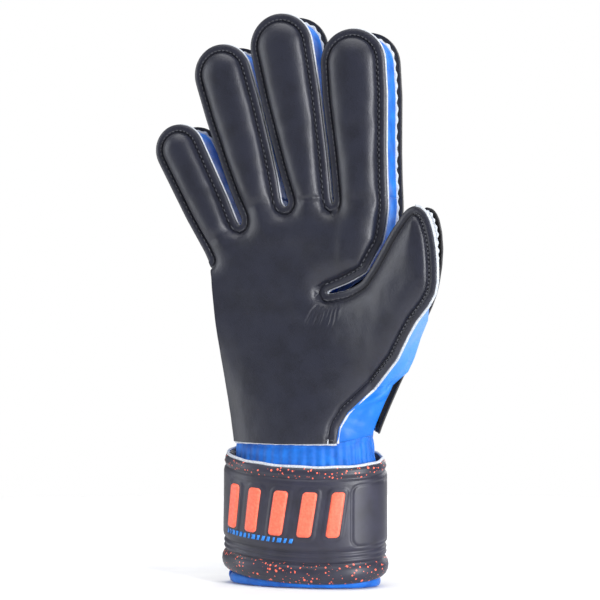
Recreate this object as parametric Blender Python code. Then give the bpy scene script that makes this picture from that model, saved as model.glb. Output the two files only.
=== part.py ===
"""Right-hand goalkeeper glove, fingers up, palm towards -Y and thumb towards +X.

The glove is cut flat: a padded front and a padded back are joined by narrow side gussets,
so each finger is a box of front pad, back pad and gusset strips around an empty stall.
All lengths below are in millimetres; MM turns them into metres.
"""
import math

import bmesh
import bpy
from mathutils import Vector

MM = 0.001
GAP = 0.4                  # clearance between neighbouring pieces
CENTRE_X = 4.15            # moves the glove's box onto the origin
CENTRE_Y = -4.2
HEM_Z = 3.0                # height of the cuff's hem on the glove's own scale

# finger stalls: base centre (x, z), lean to the left in degrees, length, middle joint,
# half-widths (distance along the finger, half-width) and radius of the round tip
FINGERS = {
    "index": {"base": (35.6, 183.4), "lean": 3.6, "length": 84.0, "joint": 36.0, "tip": 16.0,
              "widths": ((0, 13.3), (12, 13.5), (26, 14.1), (52, 15.9), (68, 16.0))},
    "middle": {"base": (9.9, 185.3), "lean": 11.4, "length": 92.0, "joint": 40.0, "tip": 15.6,
               "widths": ((0, 10.4), (21, 12.6), (52, 14.8), (76, 15.6))},
    "ring": {"base": (-15.6, 182.4), "lean": 17.0, "length": 82.8, "joint": 35.0, "tip": 14.4,
             "widths": ((0, 10.7), (13, 12.3), (26, 13.2), (50, 14.3), (68, 14.4))},
    "little": {"base": (-34.8, 165.6), "lean": 27.0, "length": 64.3, "joint": 27.0, "tip": 12.3,
               "widths": ((0, 10.2), (20, 11.6), (52, 12.3))},
}
RIM = 4.0                  # flat seam allowance outside the stitch line
FRONT_RIM_Y = -12.5        # outer face of the front rims
FRONT_THICK = 5.5
FRONT_BULGE = 4.5          # crown of a finger pad above its rim
BACK_RIM_Y = 12.0
BACK_THICK = 4.5
BACK_BULGE = 3.0
GUSSET_THICK = 1.5
ROOT_INSET, TIP_INSET = 1.2, 3.5      # how far a finger's gusset stands back from its rims
INSET_RUN = 25.0           # the length over which it does so
PAD_SHARES = (None, 0.0, 0.3, 0.65, 1.0)   # from a pad's edge and stitch line to its axis
FINGER_STEPS = 3           # facets along a finger section
TIP_STEPS = 3              # facets round a quarter of a fingertip
GUSSET_CLEAR = 1.8         # between a hand gusset's edges and the linings
THUMB_GUSSET_CLEAR = 1.8
HINGE_Y = -10.0            # finger joints bend about a line just inside the front pad
AXIS_LEAN = 0.55           # the joints' axes tilt by this share of their finger's lean
SIDE_EASE = 1.15           # the solids are this much narrower a side than the soft finger
KNUCKLE_FLEX, KNUCKLE_BACK = 60.0, 8.0
MIDDLE_FLEX, MIDDLE_BACK = 70.0, 0.0

# hand
WRIST_Z = 71.0             # lower edge of the palm
WRIST_X = 2.5              # centre of the wrist in x
PALM_LEFT = ((-28.6, 71.5), (-33.3, 99.8), (-37.1, 129.6), (-39.4, 150.0))
SLIT_EDGE = ((18.6, 142.6), (39.3, 152.0), (46.8, 166.0), (48.6, 181.5))
FOLD_LOW = (24.8, 74.0)    # thenar fold, from the wrist up to the end of the thumb slit
FOLD_HIGH = (18.6, 142.6)
FOLD_FLEX, FOLD_BACK = 30.0, 12.0
THUMB_ROWS = (             # height, inner edge (None on the fold), outer edge of front and of back
    (78.0, None, None, 43.0), (87.0, None, 30.0, 47.0),
    (99.8, None, 44.4, 52.5), (111.6, None, 56.0, 58.5), (122.4, None, 62.8, 62.2),
    (129.1, None, 67.4, 65.5), (136.3, None, 74.1, 69.5), (142.0, None, 77.8, 72.0),
    (147.6, 37.5, 79.0, 73.6), (155.0, 43.5, 79.0, 75.0), (163.0, 48.8, 78.3, 75.6),
    (170.6, 53.8, 77.0, 75.0), (177.0, 59.0, 74.3, 72.8), (181.0, 62.6, 71.0, 70.0),
    (183.2, 65.6, 68.2, 67.4),
)
SIDE_PANEL_FRONT = ((72.0, 27.0), (87.0, 29.0), (99.8, 43.0), (111.6, 54.0), (122.4, 61.0),
                    (135.0, 71.0))
WRIST_FRONT, WRIST_BACK = 21.0, 20.0   # depth of the hand's faces where they are round
WRIST_HALF = 40.0
WRIST_RUN = 60.0           # height over which they flatten
PALM_X, PALM_HALF = 4.0, 46.0
PALM_FLAT, PALM_CROWN = 13.5, 1.5
BACKHAND_FLAT, BACKHAND_CROWN = 12.5, 2.5
HAND_ROWS = 9              # facets up the hand
THENAR_X = 26.0            # beyond here the hand comes forward to the thumb
THUMB_DROP_FRONT = 0.325   # how steeply it does so
THUMB_DROP_BACK = 0.40
THUMB_SHARES = (0.0, 0.12, 0.35, 0.65, 0.88, 1.0)
THUMB_SWELL_RUN = 25.0
THUMB_FULL_WIDTH = 28.0    # a pad this wide has its whole crown
THUMB_INSET = 3.0          # how far the thumb's gussets stand back from its edges
THUMB_PAD_FROM = 128.0     # the pad swells above this height
FOLD_GAP = 0.9
KNUCKLE_GAP = 0.9
BACKHAND_RAISE = 8.0       # the backhand ends this much higher, clear of the strap
PALM_THICK = 4.5
BACKHAND_THICK = 4.0
LINING_THICK = 0.8

# cuff and strap, as offsets outwards from the sleeve's ellipse
SLEEVE_A, SLEEVE_B = 35.4, 19.1
SLEEVE_WALL = 1.5
SLEEVE_TOP = 57.5
BINDING_TOP = HEM_Z + 2.2
BINDING_OUT = 1.0          # how far the binding stands out from the sleeve
RING_STEPS = 28            # facets round the wrist
STRAP_LOW, STRAP_HIGH = 5.5, 60.5     # edges at the front centre
STRAP_TILT = 4.2           # half the rise from the front to the back
STRAP_ROLL = 1.8           # how much higher the little-finger side sits
STRAP_IN, STRAP_OUT = 2.5, 4.9
STRAP_STEPS = 22
LINING_IN, LINING_OUT = 0.4, 2.2
LINING_SHORT = 0.5         # the strap's lining ends this much inside its edges
LOOP_OUT = 1.2             # outer face of the loop patch under the strap's tail
LOOP_SHORT = 6.0           # the loop patch ends this much inside the strap's edges
HOOK_IN, HOOK_OUT = 1.5, 2.2
HOOK_SHORT = 8.0
TAIL_GAP = 1.2             # degrees between the strap and its tail, where it peels
STRAP_FROM, STRAP_TO = -168.0, 100.0  # degrees round the wrist, 0 at the front
TAIL_TO = 186.0
BAR_PROUD = 1.2
BAR_CLEAR = 0.3            # between the strap's face and the back of a bar
BAR_LOW, BAR_HIGH = 27.5, 49.5
BAR_CENTRES = (-47.0, -27.0, -7.0, 13.0, 33.0)
BAR_WIDE = 11.0            # degrees
BAR_SLANT = 5.0
TAB_FROM, TAB_TO = -122.0, -86.0       # the folded pull tab under the strap's lower edge
TAB_IN, TAB_OUT = 1.6, 4.4
TAB_LOW, TAB_HIGH = HEM_Z + 0.4, 10.2

COLOURS = {
    "latex": ((0.027, 0.029, 0.038), 0.55),
    "foam_black": ((0.022, 0.020, 0.021), 0.6),
    "gusset_blue": ((0.006, 0.216, 0.807), 0.7),
    "mesh_white": ((0.75, 0.76, 0.78), 0.8),
    "elastic_blue": ((0.004, 0.16, 0.62), 0.7),
    "strap_black": ((0.024, 0.024, 0.042), 0.5),
    "rubber_coral": ((1.0, 0.162, 0.091), 0.45),
    "lining_grey": ((0.55, 0.57, 0.6), 0.85),
    "loop_grey": ((0.05, 0.05, 0.055), 0.95),
}


def clear_scene():
    for obj in list(bpy.data.objects):
        bpy.data.objects.remove(obj, do_unlink=True)


def material(name):
    found = bpy.data.materials.get(name)
    if found:
        return found
    colour, roughness = COLOURS[name]
    made = bpy.data.materials.new(name)
    made.use_nodes = True
    shader = made.node_tree.nodes["Principled BSDF"]
    shader.inputs["Base Color"].default_value = (*colour, 1.0)
    shader.inputs["Roughness"].default_value = roughness
    shader.inputs["Metallic"].default_value = 0.0
    return made


def smooth(t):
    t = max(0.0, min(1.0, t))
    return t * t * (3 - 2 * t)


def along(points, value):
    """Read y at x = value from a list of (x, y) points, straight between them."""
    for (x0, y0), (x1, y1) in zip(points, points[1:]):
        if value <= x1:
            return y0 + (y1 - y0) * max(0.0, value - x0) / (x1 - x0)
    return points[-1][1]


def trace(points, t):
    """The point at fraction t of the length of a polyline."""
    points = [Vector(p) for p in points]
    lengths = [(b - a).length for a, b in zip(points, points[1:])]
    left = t * sum(lengths)
    for a, b, length in zip(points, points[1:], lengths):
        if left <= length:
            return a.lerp(b, left / length)
        left -= length
    return points[-1]


def add_object(name, bm, colour):
    mesh = bpy.data.meshes.new(name)
    bm.to_mesh(mesh)
    bm.free()
    mesh.materials.append(material(colour))
    obj = bpy.data.objects.new(name, mesh)
    bpy.context.collection.objects.link(obj)
    return obj


def place(point):
    x, y, z = point
    return Vector(((x - CENTRE_X) * MM, (y - CENTRE_Y) * MM, (z - HEM_Z) * MM))


def slab(name, outer, inner, colour, loop=False):
    """A solid between two grids of points, outer[row][column] and inner[row][column]."""
    bm = bmesh.new()
    grids = []
    for grid in (outer, inner):
        grids.append([[bm.verts.new(place(p)) for p in row] for row in grid])
    rows, columns = len(outer), len(outer[0])
    last = rows if loop else rows - 1
    for i in range(last):
        j = (i + 1) % rows
        for c in range(columns - 1):
            for grid in grids:
                bm.faces.new((grid[i][c], grid[i][c + 1], grid[j][c + 1], grid[j][c]))
        for c in (0, columns - 1):
            bm.faces.new((grids[0][i][c], grids[0][j][c], grids[1][j][c], grids[1][i][c]))
    if not loop:
        for i in (0, rows - 1):
            for c in range(columns - 1):
                a, b = grids[0][i], grids[1][i]
                bm.faces.new((a[c], a[c + 1], b[c + 1], b[c]))
    return finish(name, bm, colour)


def finish(name, bm, colour):
    bmesh.ops.remove_doubles(bm, verts=bm.verts, dist=1e-6)
    bmesh.ops.triangulate(bm, faces=bm.faces)
    bmesh.ops.dissolve_degenerate(bm, edges=bm.edges, dist=1e-7)
    bmesh.ops.recalc_face_normals(bm, faces=bm.faces)
    return add_object(name, bm, colour)


# ---------------------------------------------------------------- fingers

def finger_place(finger, s, u, y):
    """A point s along a finger, u across it and y in depth."""
    bx, bz = finger["base"]
    lean = math.radians(finger["lean"])
    return (bx - s * math.sin(lean) + u * math.cos(lean), y,
            bz + s * math.cos(lean) + u * math.sin(lean))


def axis_cut(finger, u):
    """How far along the finger a joint's cut moves at u across, because its axis leans less."""
    return -u * math.tan(math.radians(finger["lean"] * (1 - AXIS_LEAN)))


def half_width(finger, s):
    centre = finger["length"] - finger["tip"]
    if s <= centre:
        return along(finger["widths"], s) - SIDE_EASE
    return math.sqrt(max(0.0, (finger["tip"] - SIDE_EASE) ** 2 - (s - centre) ** 2))


def mitre(y, flex, back):
    """How far an end face stands back from its hinge so that the joint can bend."""
    offset = y - HINGE_Y
    bend = -offset * math.tan(math.radians(flex) / 2)
    stretch = offset * math.tan(math.radians(back) / 2)
    return GAP + max(bend, stretch, 0.0)


def pad_profile(front, share):
    """Outer and inner depth of a pad, share 0 at its stitch line and 1 on its axis."""
    crown = math.sqrt(max(0.0, 1 - (1 - share) ** 2))
    if front:
        outer = FRONT_RIM_Y - FRONT_BULGE * crown
        return outer, outer + FRONT_THICK
    outer = BACK_RIM_Y + BACK_BULGE * crown
    return outer, outer - BACK_THICK


def finger_stations(finger, s_from, s_to):
    """Levels up a finger, and the way up one side, over its round tip and down the other."""
    centre = finger["length"] - finger["tip"]
    top = s_to if s_to else centre
    levels = [s_from + (top - s_from) * i / FINGER_STEPS for i in range(FINGER_STEPS + 1)]
    turns = [90.0 * i / TIP_STEPS for i in range(1, TIP_STEPS + 1)]
    stations = [(level, -1, 0.0) for level in levels]
    stations += [(centre, -1, turn) for turn in turns]
    stations += [(centre, 1, turn) for turn in turns[-2::-1]]
    stations += [(level, 1, 0.0) for level in reversed(levels)]
    return levels, stations


def finger_pad(name, finger, front, s_from, s_to, colour):
    """A finger's front or back pad from s_from up to s_to, or over the tip if s_to is None."""
    low_joint = (KNUCKLE_FLEX, KNUCKLE_BACK) if s_from == 0 else (MIDDLE_FLEX, MIDDLE_BACK)
    levels, stations = finger_stations(finger, s_from, s_to)

    def column(level, side, turn=0.0):
        rows = ([], [])
        for share in PAD_SHARES:
            depth = pad_profile(front, share or 0.0)
            wide = half_width(finger, level)
            reach = wide if share is None else (wide - RIM) * (1 - share)
            across = side * reach * math.cos(turn)
            for row, y in zip(rows, depth):
                s = level + reach * math.sin(turn)
                if level == s_from:
                    s += mitre(y, *low_joint) + axis_cut(finger, across)
                if s_to and level == s_to:
                    s += axis_cut(finger, across) - mitre(y, MIDDLE_FLEX, MIDDLE_BACK)
                row.append(finger_place(finger, s, across, y))
        return rows

    if s_to:
        outer, inner = [], []
        for level in levels:
            left, right = column(level, -1), column(level, 1)
            outer.append(left[0] + right[0][-2::-1])
            inner.append(left[1] + right[1][-2::-1])
        return slab(name, outer, inner, colour)
    columns = [column(level, side, math.radians(turn)) for level, side, turn in stations]
    return tip_slab(name, [c[0] for c in columns], [c[1] for c in columns], colour)


def tip_slab(name, outer, inner, colour):
    """A slab whose last column lies on the finger's axis, where its two halves meet."""
    bm = bmesh.new()
    grids = [[[bm.verts.new(place(p)) for p in row] for row in grid] for grid in (outer, inner)]
    rows, columns = len(outer), len(outer[0])
    for i in range(rows - 1):
        for c in range(columns - 1):
            for grid in grids:
                bm.faces.new((grid[i][c], grid[i][c + 1], grid[i + 1][c + 1], grid[i + 1][c]))
        bm.faces.new((grids[0][i][0], grids[0][i + 1][0], grids[1][i + 1][0], grids[1][i][0]))
    for i in (0, rows - 1):
        for c in range(columns - 1):
            a, b = grids[0][i], grids[1][i]
            bm.faces.new((a[c], a[c + 1], b[c + 1], b[c]))
    return finish(name, bm, colour)


def inset(s):
    """The gusset stands back from the rims' edge, less so at the root of the finger."""
    return ROOT_INSET + (TIP_INSET - ROOT_INSET) * smooth(s / INSET_RUN)


def finger_gusset(name, finger, s_from, s_to, side, colour):
    """A gusset strip between the front and back rims; side 0 runs up, over the tip and down."""
    low_joint = (KNUCKLE_FLEX, KNUCKLE_BACK) if s_from == 0 else (MIDDLE_FLEX, MIDDLE_BACK)
    front = FRONT_RIM_Y + FRONT_THICK + GAP
    back = BACK_RIM_Y - BACK_THICK - GAP
    levels, stations = finger_stations(finger, s_from, s_to)
    if side:
        stations = [(level, side, 0.0) for level in levels]
    grids = []
    for depth in (0.0, GUSSET_THICK):
        grid = []
        for level, way, turn in stations:
            reach = half_width(finger, level) - inset(level) - depth
            angle = math.radians(turn)
            across = way * reach * math.cos(angle)
            row = []
            for y in (front, back):
                s = level + reach * math.sin(angle)
                if level == s_from:
                    s += mitre(y, *low_joint) + axis_cut(finger, across)
                if s_to and level == s_to:
                    s += axis_cut(finger, across) - mitre(y, MIDDLE_FLEX, MIDDLE_BACK)
                row.append(finger_place(finger, s, across, y))
            grid.append(row)
        grids.append(grid)
    return slab(name, grids[0], grids[1], colour)


def build_fingers():
    for name, finger in FINGERS.items():
        joint = finger["joint"]
        finger_pad(f"{name}_lower_front", finger, True, 0, joint, "latex")
        finger_pad(f"{name}_lower_back", finger, False, 0, joint, "foam_black")
        finger_gusset(f"{name}_lower_gusset_thumb_side", finger, 0, joint, 1, "gusset_blue")
        finger_gusset(f"{name}_lower_gusset_outer_side", finger, 0, joint, -1, "gusset_blue")
        finger_pad(f"{name}_tip_front", finger, True, joint, None, "latex")
        finger_pad(f"{name}_tip_back", finger, False, joint, None, "foam_black")
        finger_gusset(f"{name}_tip_gusset", finger, joint, None, 0, "gusset_blue")


# ---------------------------------------------------------------- hand

def fold_x(z):
    (x0, z0), (x1, z1) = FOLD_LOW, FOLD_HIGH
    return x0 + (x1 - x0) * max(0.0, min(1.0, (z - z0) / (z1 - z0)))


def hand_y(x, z, wrist, flat, crown, drop):
    """A face that is round at the wrist and nearly flat above, and comes forward at the thumb."""
    rise = smooth((z - WRIST_Z) / WRIST_RUN)
    low = wrist * math.sqrt(max(0.05, 1 - ((x - WRIST_X) / WRIST_HALF) ** 2))
    high = flat + crown * max(0.0, 1 - ((x - PALM_X) / PALM_HALF) ** 2)
    return low + (high - low) * rise - drop * max(0.0, x - THENAR_X)


def front_y(x, z):
    """Outer face of the palm: round at the wrist, nearly flat above, forward at the thumb."""
    return hand_y(x, z, -WRIST_FRONT, -PALM_FLAT, -PALM_CROWN, THUMB_DROP_FRONT)


def back_y(x, z):
    """Outer face of the backhand."""
    return hand_y(x, z, WRIST_BACK, BACKHAND_FLAT, BACKHAND_CROWN, THUMB_DROP_BACK)


def knuckle_line():
    """The line of the finger roots, from the little finger to the index finger."""
    line = []
    for name in ("little", "ring", "middle", "index"):
        finger = FINGERS[name]
        wide = finger["widths"][0][1]
        for u in (-wide, wide):
            x, _, z = finger_place(finger, axis_cut(finger, u), u, 0)
            line.append((x, z))
    return line


def hand_grid():
    """A Coons patch over the hand, from its little-finger edge to the fold and the thumb slit."""
    top = knuckle_line()
    left = [Vector(p) for p in PALM_LEFT] + [Vector(top[0])]
    right = [Vector((fold_x(WRIST_Z), WRIST_Z + 0.5))] + [Vector(p) for p in SLIT_EDGE]
    right.append(Vector(top[-1]))
    columns = []
    for a, b in zip(top[0::2], top[1::2]):
        columns += [a, ((a[0] + b[0]) / 2, (a[1] + b[1]) / 2), b]
    lengths = [0.0]
    for a, b in zip(columns, columns[1:]):
        lengths.append(lengths[-1] + (Vector(b) - Vector(a)).length)
    shares = [length / lengths[-1] for length in lengths]
    grid = []
    bottom_left, bottom_right = left[0], right[0]
    top_left, top_right = Vector(top[0]), Vector(top[-1])
    for j in range(HAND_ROWS + 1):
        v = j / HAND_ROWS
        row = []
        for u, crest in zip(shares, columns):
            base = bottom_left.lerp(bottom_right, u)
            sides = trace(left, v).lerp(trace(right, v), u)
            ends = base.lerp(Vector(crest), v)
            corners = bottom_left.lerp(bottom_right, u).lerp(top_left.lerp(top_right, u), v)
            x, z = sides + ends - corners
            row.append((x, z))
        grid.append(row)
    return grid


def hand_panel(name, grid, surface, thick, way, colour, inside=0.0):
    """A plate on the hand's front (way -1) or back (way 1), drawn in from its joints."""
    sides = []
    for depth in (inside, inside + thick):
        points = []
        for j, row in enumerate(grid):
            line = []
            for i, (x, z) in enumerate(row):
                if way > 0:
                    z += BACKHAND_RAISE * (1 - j / (len(grid) - 1)) ** 3
                y = surface(x, z) - way * depth
                if j == len(grid) - 1:
                    z -= mitre(y, KNUCKLE_FLEX, KNUCKLE_BACK) + KNUCKLE_GAP
                if i == len(row) - 1 and z < FOLD_HIGH[1] + 3:
                    x -= fold_mitre(y)
                line.append((x, y, z))
            points.append(line)
        sides.append(points)
    return slab(name, sides[0], sides[1], colour)


def fold_mitre(y):
    offset = y - HINGE_Y
    bend = -offset * math.tan(math.radians(FOLD_FLEX) / 2)
    stretch = offset * math.tan(math.radians(FOLD_BACK) / 2)
    return FOLD_GAP + max(bend, stretch, 0.0)


def build_hand():
    grid = hand_grid()
    hand_panel("palm_panel", grid, front_y, PALM_THICK, -1, "latex")
    hand_panel("backhand_panel", grid, back_y, BACKHAND_THICK, 1, "foam_black")
    hand_panel("palm_lining", grid, front_y, LINING_THICK, -1, "lining_grey",
               inside=PALM_THICK + GAP)
    hand_panel("backhand_lining", grid, back_y, LINING_THICK, 1, "lining_grey",
               inside=BACKHAND_THICK + GAP)
    side_gusset()


def side_strip(name, edge, inwards, colour, bow=0.0):
    """A gusset strip along an edge of the hand, edge = (x, z) points, inwards = (x, z) step."""
    grids = []
    for depth in (0.0, GUSSET_THICK):
        grid = []
        for (x, z), (dx, dz) in zip(edge, inwards):
            x0, z0 = x + dx * (depth + 1.0), z + dz * (depth + 1.0)
            y0 = front_y(x0, z0) + PALM_THICK + LINING_THICK + GUSSET_CLEAR
            y1 = back_y(x0, z0) - BACKHAND_THICK - LINING_THICK - GUSSET_CLEAR
            row = []
            for t in (0.0, 0.5, 1.0):
                swell = bow * 4 * t * (1 - t)
                row.append((x0 - dx * swell, y0 + (y1 - y0) * t, z0 - dz * swell))
            grid.append(row)
        grids.append(grid)
    return slab(name, grids[0], grids[1], colour)


def side_gusset():
    edge = [tuple(trace(PALM_LEFT + (knuckle_line()[0],), t / 6)) for t in range(6)]
    edge.append((knuckle_line()[0][0] + 2.0, knuckle_line()[0][1] - 5.0))
    side_strip("side_gusset_outer", edge, [(1.0, 0.0)] * len(edge), "gusset_blue", bow=1.5)
    slit = [tuple(trace(SLIT_EDGE, t)) for t in (0.12, 0.35, 0.6, 0.8)]
    slit.append((SLIT_EDGE[-1][0] - 0.3, SLIT_EDGE[-1][1] - 4.0))
    side_strip("slit_gusset", slit, [(-0.45, 0.9), (-0.6, 0.8), (-0.8, 0.6), (-1, 0), (-1, 0)],
               "gusset_blue")


# ---------------------------------------------------------------- thumb

def thumb_grid(front):
    """Rows across the thenar flap and the thumb; the pad swells above THUMB_PAD_FROM."""
    surface = front_y if front else back_y
    thick = FRONT_THICK if front else -BACK_THICK
    way = -1 if front else 1
    outer, inner = [], []
    for z, x_in, x_front, x_back in THUMB_ROWS:
        x_out = x_front if front else x_back
        if x_out is None:
            continue
        rows = ([], [])
        for share in THUMB_SHARES:
            start = fold_x(z) if x_in is None else x_in
            x = start + (x_out - start) * share
            swell = smooth((z - THUMB_PAD_FROM) / THUMB_SWELL_RUN)
            swell *= min(1.0, (x_out - start) / THUMB_FULL_WIDTH)
            crown = (FRONT_BULGE if front else BACK_BULGE) * swell
            crown *= math.sqrt(max(0.0, 1 - (2 * share - 1) ** 2))
            y = surface(x, z) + way * crown
            for row, face in zip(rows, (y, y + thick)):
                push = fold_mitre(face) if x_in is None and share == 0 else 0.0
                row.append((x + push, face, z))
        outer.append(rows[0])
        inner.append(rows[1])
    return outer, inner


def thumb_strip(name, front_edge, back_edge, way, colour):
    """A gusset strip between two edges given as (height, x) points; way points inwards."""
    grids = []
    for depth in (0.0, GUSSET_THICK):
        grid = []
        for z, x_front in front_edge:
            x0 = x_front + way * depth
            x1 = along(back_edge, z) + way * depth
            front = front_y(x0, z) + FRONT_THICK + THUMB_GUSSET_CLEAR
            back = back_y(x1, z) - BACK_THICK - THUMB_GUSSET_CLEAR
            grid.append([(x0 + (x1 - x0) * t, front + (back - front) * t, z)
                         for t in (0.0, 0.5, 1.0)])
        grids.append(grid)
    slab(name, grids[0], grids[1], colour)


def build_thumb():
    outer, inner = thumb_grid(True)
    slab("thumb_front", outer, inner, "latex")
    outer, inner = thumb_grid(False)
    slab("thumb_back", outer, inner, "foam_black")
    high = [row for row in THUMB_ROWS[:-1] if row[0] > SIDE_PANEL_FRONT[-1][0] + 1]
    thumb_strip("thumb_gusset_outer_side", [(z, x_front - THUMB_INSET) for z, _, x_front, _ in high],
                [(z, x_back - THUMB_INSET) for z, _, _, x_back in high], -1, "mesh_white")
    slit = [(z, x_in + THUMB_INSET) for z, x_in, _, _ in high[:-1] if x_in]
    thumb_strip("thumb_gusset_slit_side", slit, slit, 1, "gusset_blue")
    thumb_strip("thumb_side_panel", SIDE_PANEL_FRONT,
                [(z, x_back - THUMB_INSET) for z, _, _, x_back in THUMB_ROWS], -1, "gusset_blue")


# ---------------------------------------------------------------- cuff and strap

def ring_point(degrees, offset, z):
    """A point round the wrist; 0 degrees is the front, 90 the thumb side."""
    angle = math.radians(degrees)
    return (WRIST_X + (SLEEVE_A + offset) * math.sin(angle),
            -(SLEEVE_B + offset) * math.cos(angle), z)


def strap_drop(degrees):
    """Rise of the strap's edges over the front centre."""
    angle = math.radians(degrees)
    return STRAP_TILT * (1 - math.cos(angle)) - STRAP_ROLL * math.sin(angle)


def band(name, start, end, inside, outside, low, high, colour, follow=False, steps=12, loop=False,
         slant=0.0):
    """A wall round the wrist between two offsets, from low to high."""
    grids = []
    for offset in (outside, inside):
        grid = []
        for i in range(steps if loop else steps + 1):
            degrees = start + (end - start) * i / steps
            rise = strap_drop(degrees) if follow else 0.0
            grid.append([ring_point(degrees + lean, offset, z + rise)
                         for z, lean in ((low, 0.0), (high, slant))])
        grids.append(grid)
    return slab(name, grids[0], grids[1], colour, loop=loop)


def build_cuff():
    band("cuff_sleeve", 0, 360, -SLEEVE_WALL, 0.0, BINDING_TOP + GAP, SLEEVE_TOP, "elastic_blue",
         steps=RING_STEPS, loop=True)
    band("cuff_binding", 0, 360, -SLEEVE_WALL, BINDING_OUT, HEM_Z, BINDING_TOP, "elastic_blue",
         steps=RING_STEPS, loop=True)
    band("wrist_elastic", 0, 360, -SLEEVE_WALL, 0.0, SLEEVE_TOP + GAP, WRIST_Z - GAP,
         "elastic_blue", steps=RING_STEPS, loop=True)
    band("strap_lining", STRAP_FROM, STRAP_TO, LINING_IN, LINING_OUT,
         STRAP_LOW + LINING_SHORT, STRAP_HIGH - LINING_SHORT, "loop_grey", follow=True,
         steps=STRAP_STEPS)
    band("wrist_strap", STRAP_FROM, STRAP_TO, STRAP_IN, STRAP_OUT, STRAP_LOW, STRAP_HIGH,
         "strap_black", follow=True, steps=STRAP_STEPS)
    band("loop_patch", STRAP_TO + 6, TAIL_TO - 4, LINING_IN, LOOP_OUT, STRAP_LOW + LOOP_SHORT,
         STRAP_HIGH - LOOP_SHORT, "loop_grey", follow=True, steps=7)
    for number, centre in enumerate(BAR_CENTRES, 1):
        band(f"strap_bar_{number}", centre - BAR_WIDE / 2, centre + BAR_WIDE / 2,
             STRAP_OUT + BAR_CLEAR, STRAP_OUT + BAR_CLEAR + BAR_PROUD, BAR_LOW, BAR_HIGH, "rubber_coral",
             follow=True, steps=2, slant=BAR_SLANT)
    band("pull_tab", TAB_FROM, TAB_TO, TAB_IN, TAB_OUT, TAB_LOW, TAB_HIGH, "gusset_blue", steps=4)


def build_tail():
    band("strap_tail", STRAP_TO + TAIL_GAP, TAIL_TO, STRAP_IN, STRAP_OUT, STRAP_LOW, STRAP_HIGH,
         "strap_black", follow=True, steps=8)
    band("hook_patch", STRAP_TO + 12, TAIL_TO - 6, HOOK_IN, HOOK_OUT, STRAP_LOW + HOOK_SHORT,
         STRAP_HIGH - HOOK_SHORT, "loop_grey", follow=True, steps=6)


def main():
    clear_scene()
    build_fingers()
    build_hand()
    build_thumb()
    build_cuff()
    build_tail()


main()
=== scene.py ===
"""Right-hand goalkeeper glove, held upright by its opening, palm towards -Y and thumb towards +X.

A glove of this kind is cut flat. A padded front and a padded back are sewn to narrow gussets,
so the whole outline carries a flat seam allowance, a sunk stitch line and a puffed pad inside it.
Lengths are in millimetres on the glove's own scale until place() turns them into metres.
"""
import math

import bmesh
import bpy
import numpy as np
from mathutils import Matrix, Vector, geometry, noise


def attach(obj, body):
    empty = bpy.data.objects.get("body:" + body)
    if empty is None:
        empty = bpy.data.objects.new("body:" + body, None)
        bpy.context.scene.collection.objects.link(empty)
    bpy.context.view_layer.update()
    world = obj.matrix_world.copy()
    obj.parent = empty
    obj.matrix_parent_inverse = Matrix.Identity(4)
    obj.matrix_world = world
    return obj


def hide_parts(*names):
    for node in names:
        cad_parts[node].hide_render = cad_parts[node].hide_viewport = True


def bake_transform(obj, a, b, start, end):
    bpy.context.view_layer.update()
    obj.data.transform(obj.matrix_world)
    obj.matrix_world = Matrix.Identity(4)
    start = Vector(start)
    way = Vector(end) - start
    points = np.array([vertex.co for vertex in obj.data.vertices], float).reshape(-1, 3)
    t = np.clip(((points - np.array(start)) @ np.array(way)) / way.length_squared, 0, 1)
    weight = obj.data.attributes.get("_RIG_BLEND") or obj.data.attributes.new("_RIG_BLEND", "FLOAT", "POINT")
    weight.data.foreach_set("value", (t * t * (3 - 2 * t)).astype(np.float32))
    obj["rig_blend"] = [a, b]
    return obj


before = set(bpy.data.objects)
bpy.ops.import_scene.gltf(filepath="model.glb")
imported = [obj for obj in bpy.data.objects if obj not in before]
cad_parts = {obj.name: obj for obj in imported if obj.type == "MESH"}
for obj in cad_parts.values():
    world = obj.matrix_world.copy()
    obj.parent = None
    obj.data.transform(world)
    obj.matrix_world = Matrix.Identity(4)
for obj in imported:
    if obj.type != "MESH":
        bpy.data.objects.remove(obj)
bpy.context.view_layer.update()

MM = 0.001
# the CAD model's origin, in the coordinates that the outline is drawn in
CENTRE_X, CENTRE_Y, HEM_Z = 4.15, -4.2, 3.0

# ---------------------------------------------------------------- sizes of the glove

# base centre (x, z), lean to the left in degrees, length, middle joint, tip radius, half-widths;
# root is the height where the finger leaves the palm, split where its two skins meet, and
# bend the heights between which the upper skin bends
FINGERS = {
    "little": {"base": (-34.8, 165.6), "lean": 27.0, "length": 64.3, "joint": 27.0, "tip": 12.3,
               "widths": ((0, 10.2), (20, 11.6), (52, 12.3)), "root": 177.0, "split": 187.0,
               "bend": (187.5, 199.0)},
    "ring": {"base": (-15.6, 182.4), "lean": 17.0, "length": 82.8, "joint": 35.0, "tip": 14.4,
             "widths": ((0, 10.7), (13, 12.3), (26, 13.2), (50, 14.3), (68, 14.4)),
             "root": 188.0, "split": 202.0, "bend": (208.0, 224.0)},
    "middle": {"base": (9.9, 185.3), "lean": 11.4, "length": 92.0, "joint": 40.0, "tip": 15.6,
               "widths": ((0, 10.4), (21, 12.6), (52, 14.8), (76, 15.6)),
               "root": 188.0, "split": 205.0, "bend": (216.5, 232.5)},
    "index": {"base": (35.6, 183.4), "lean": 3.6, "length": 84.0, "joint": 36.0, "tip": 16.0,
              "widths": ((0, 13.3), (12, 13.5), (26, 14.1), (52, 15.9), (68, 16.0)),
              "root": 188.0, "split": 202.0, "bend": (211.0, 227.0)},
}
WEBS = (174.2, 182.8, 183.4)      # lowest point between neighbours, from the little finger on
WEB_ROUND = 2.2                   # a finger's straight side starts this far above its web
LEFT_SIDE = ((-28.6, 71.5), (-33.3, 99.8), (-37.1, 129.6), (-39.4, 150.0))
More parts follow.
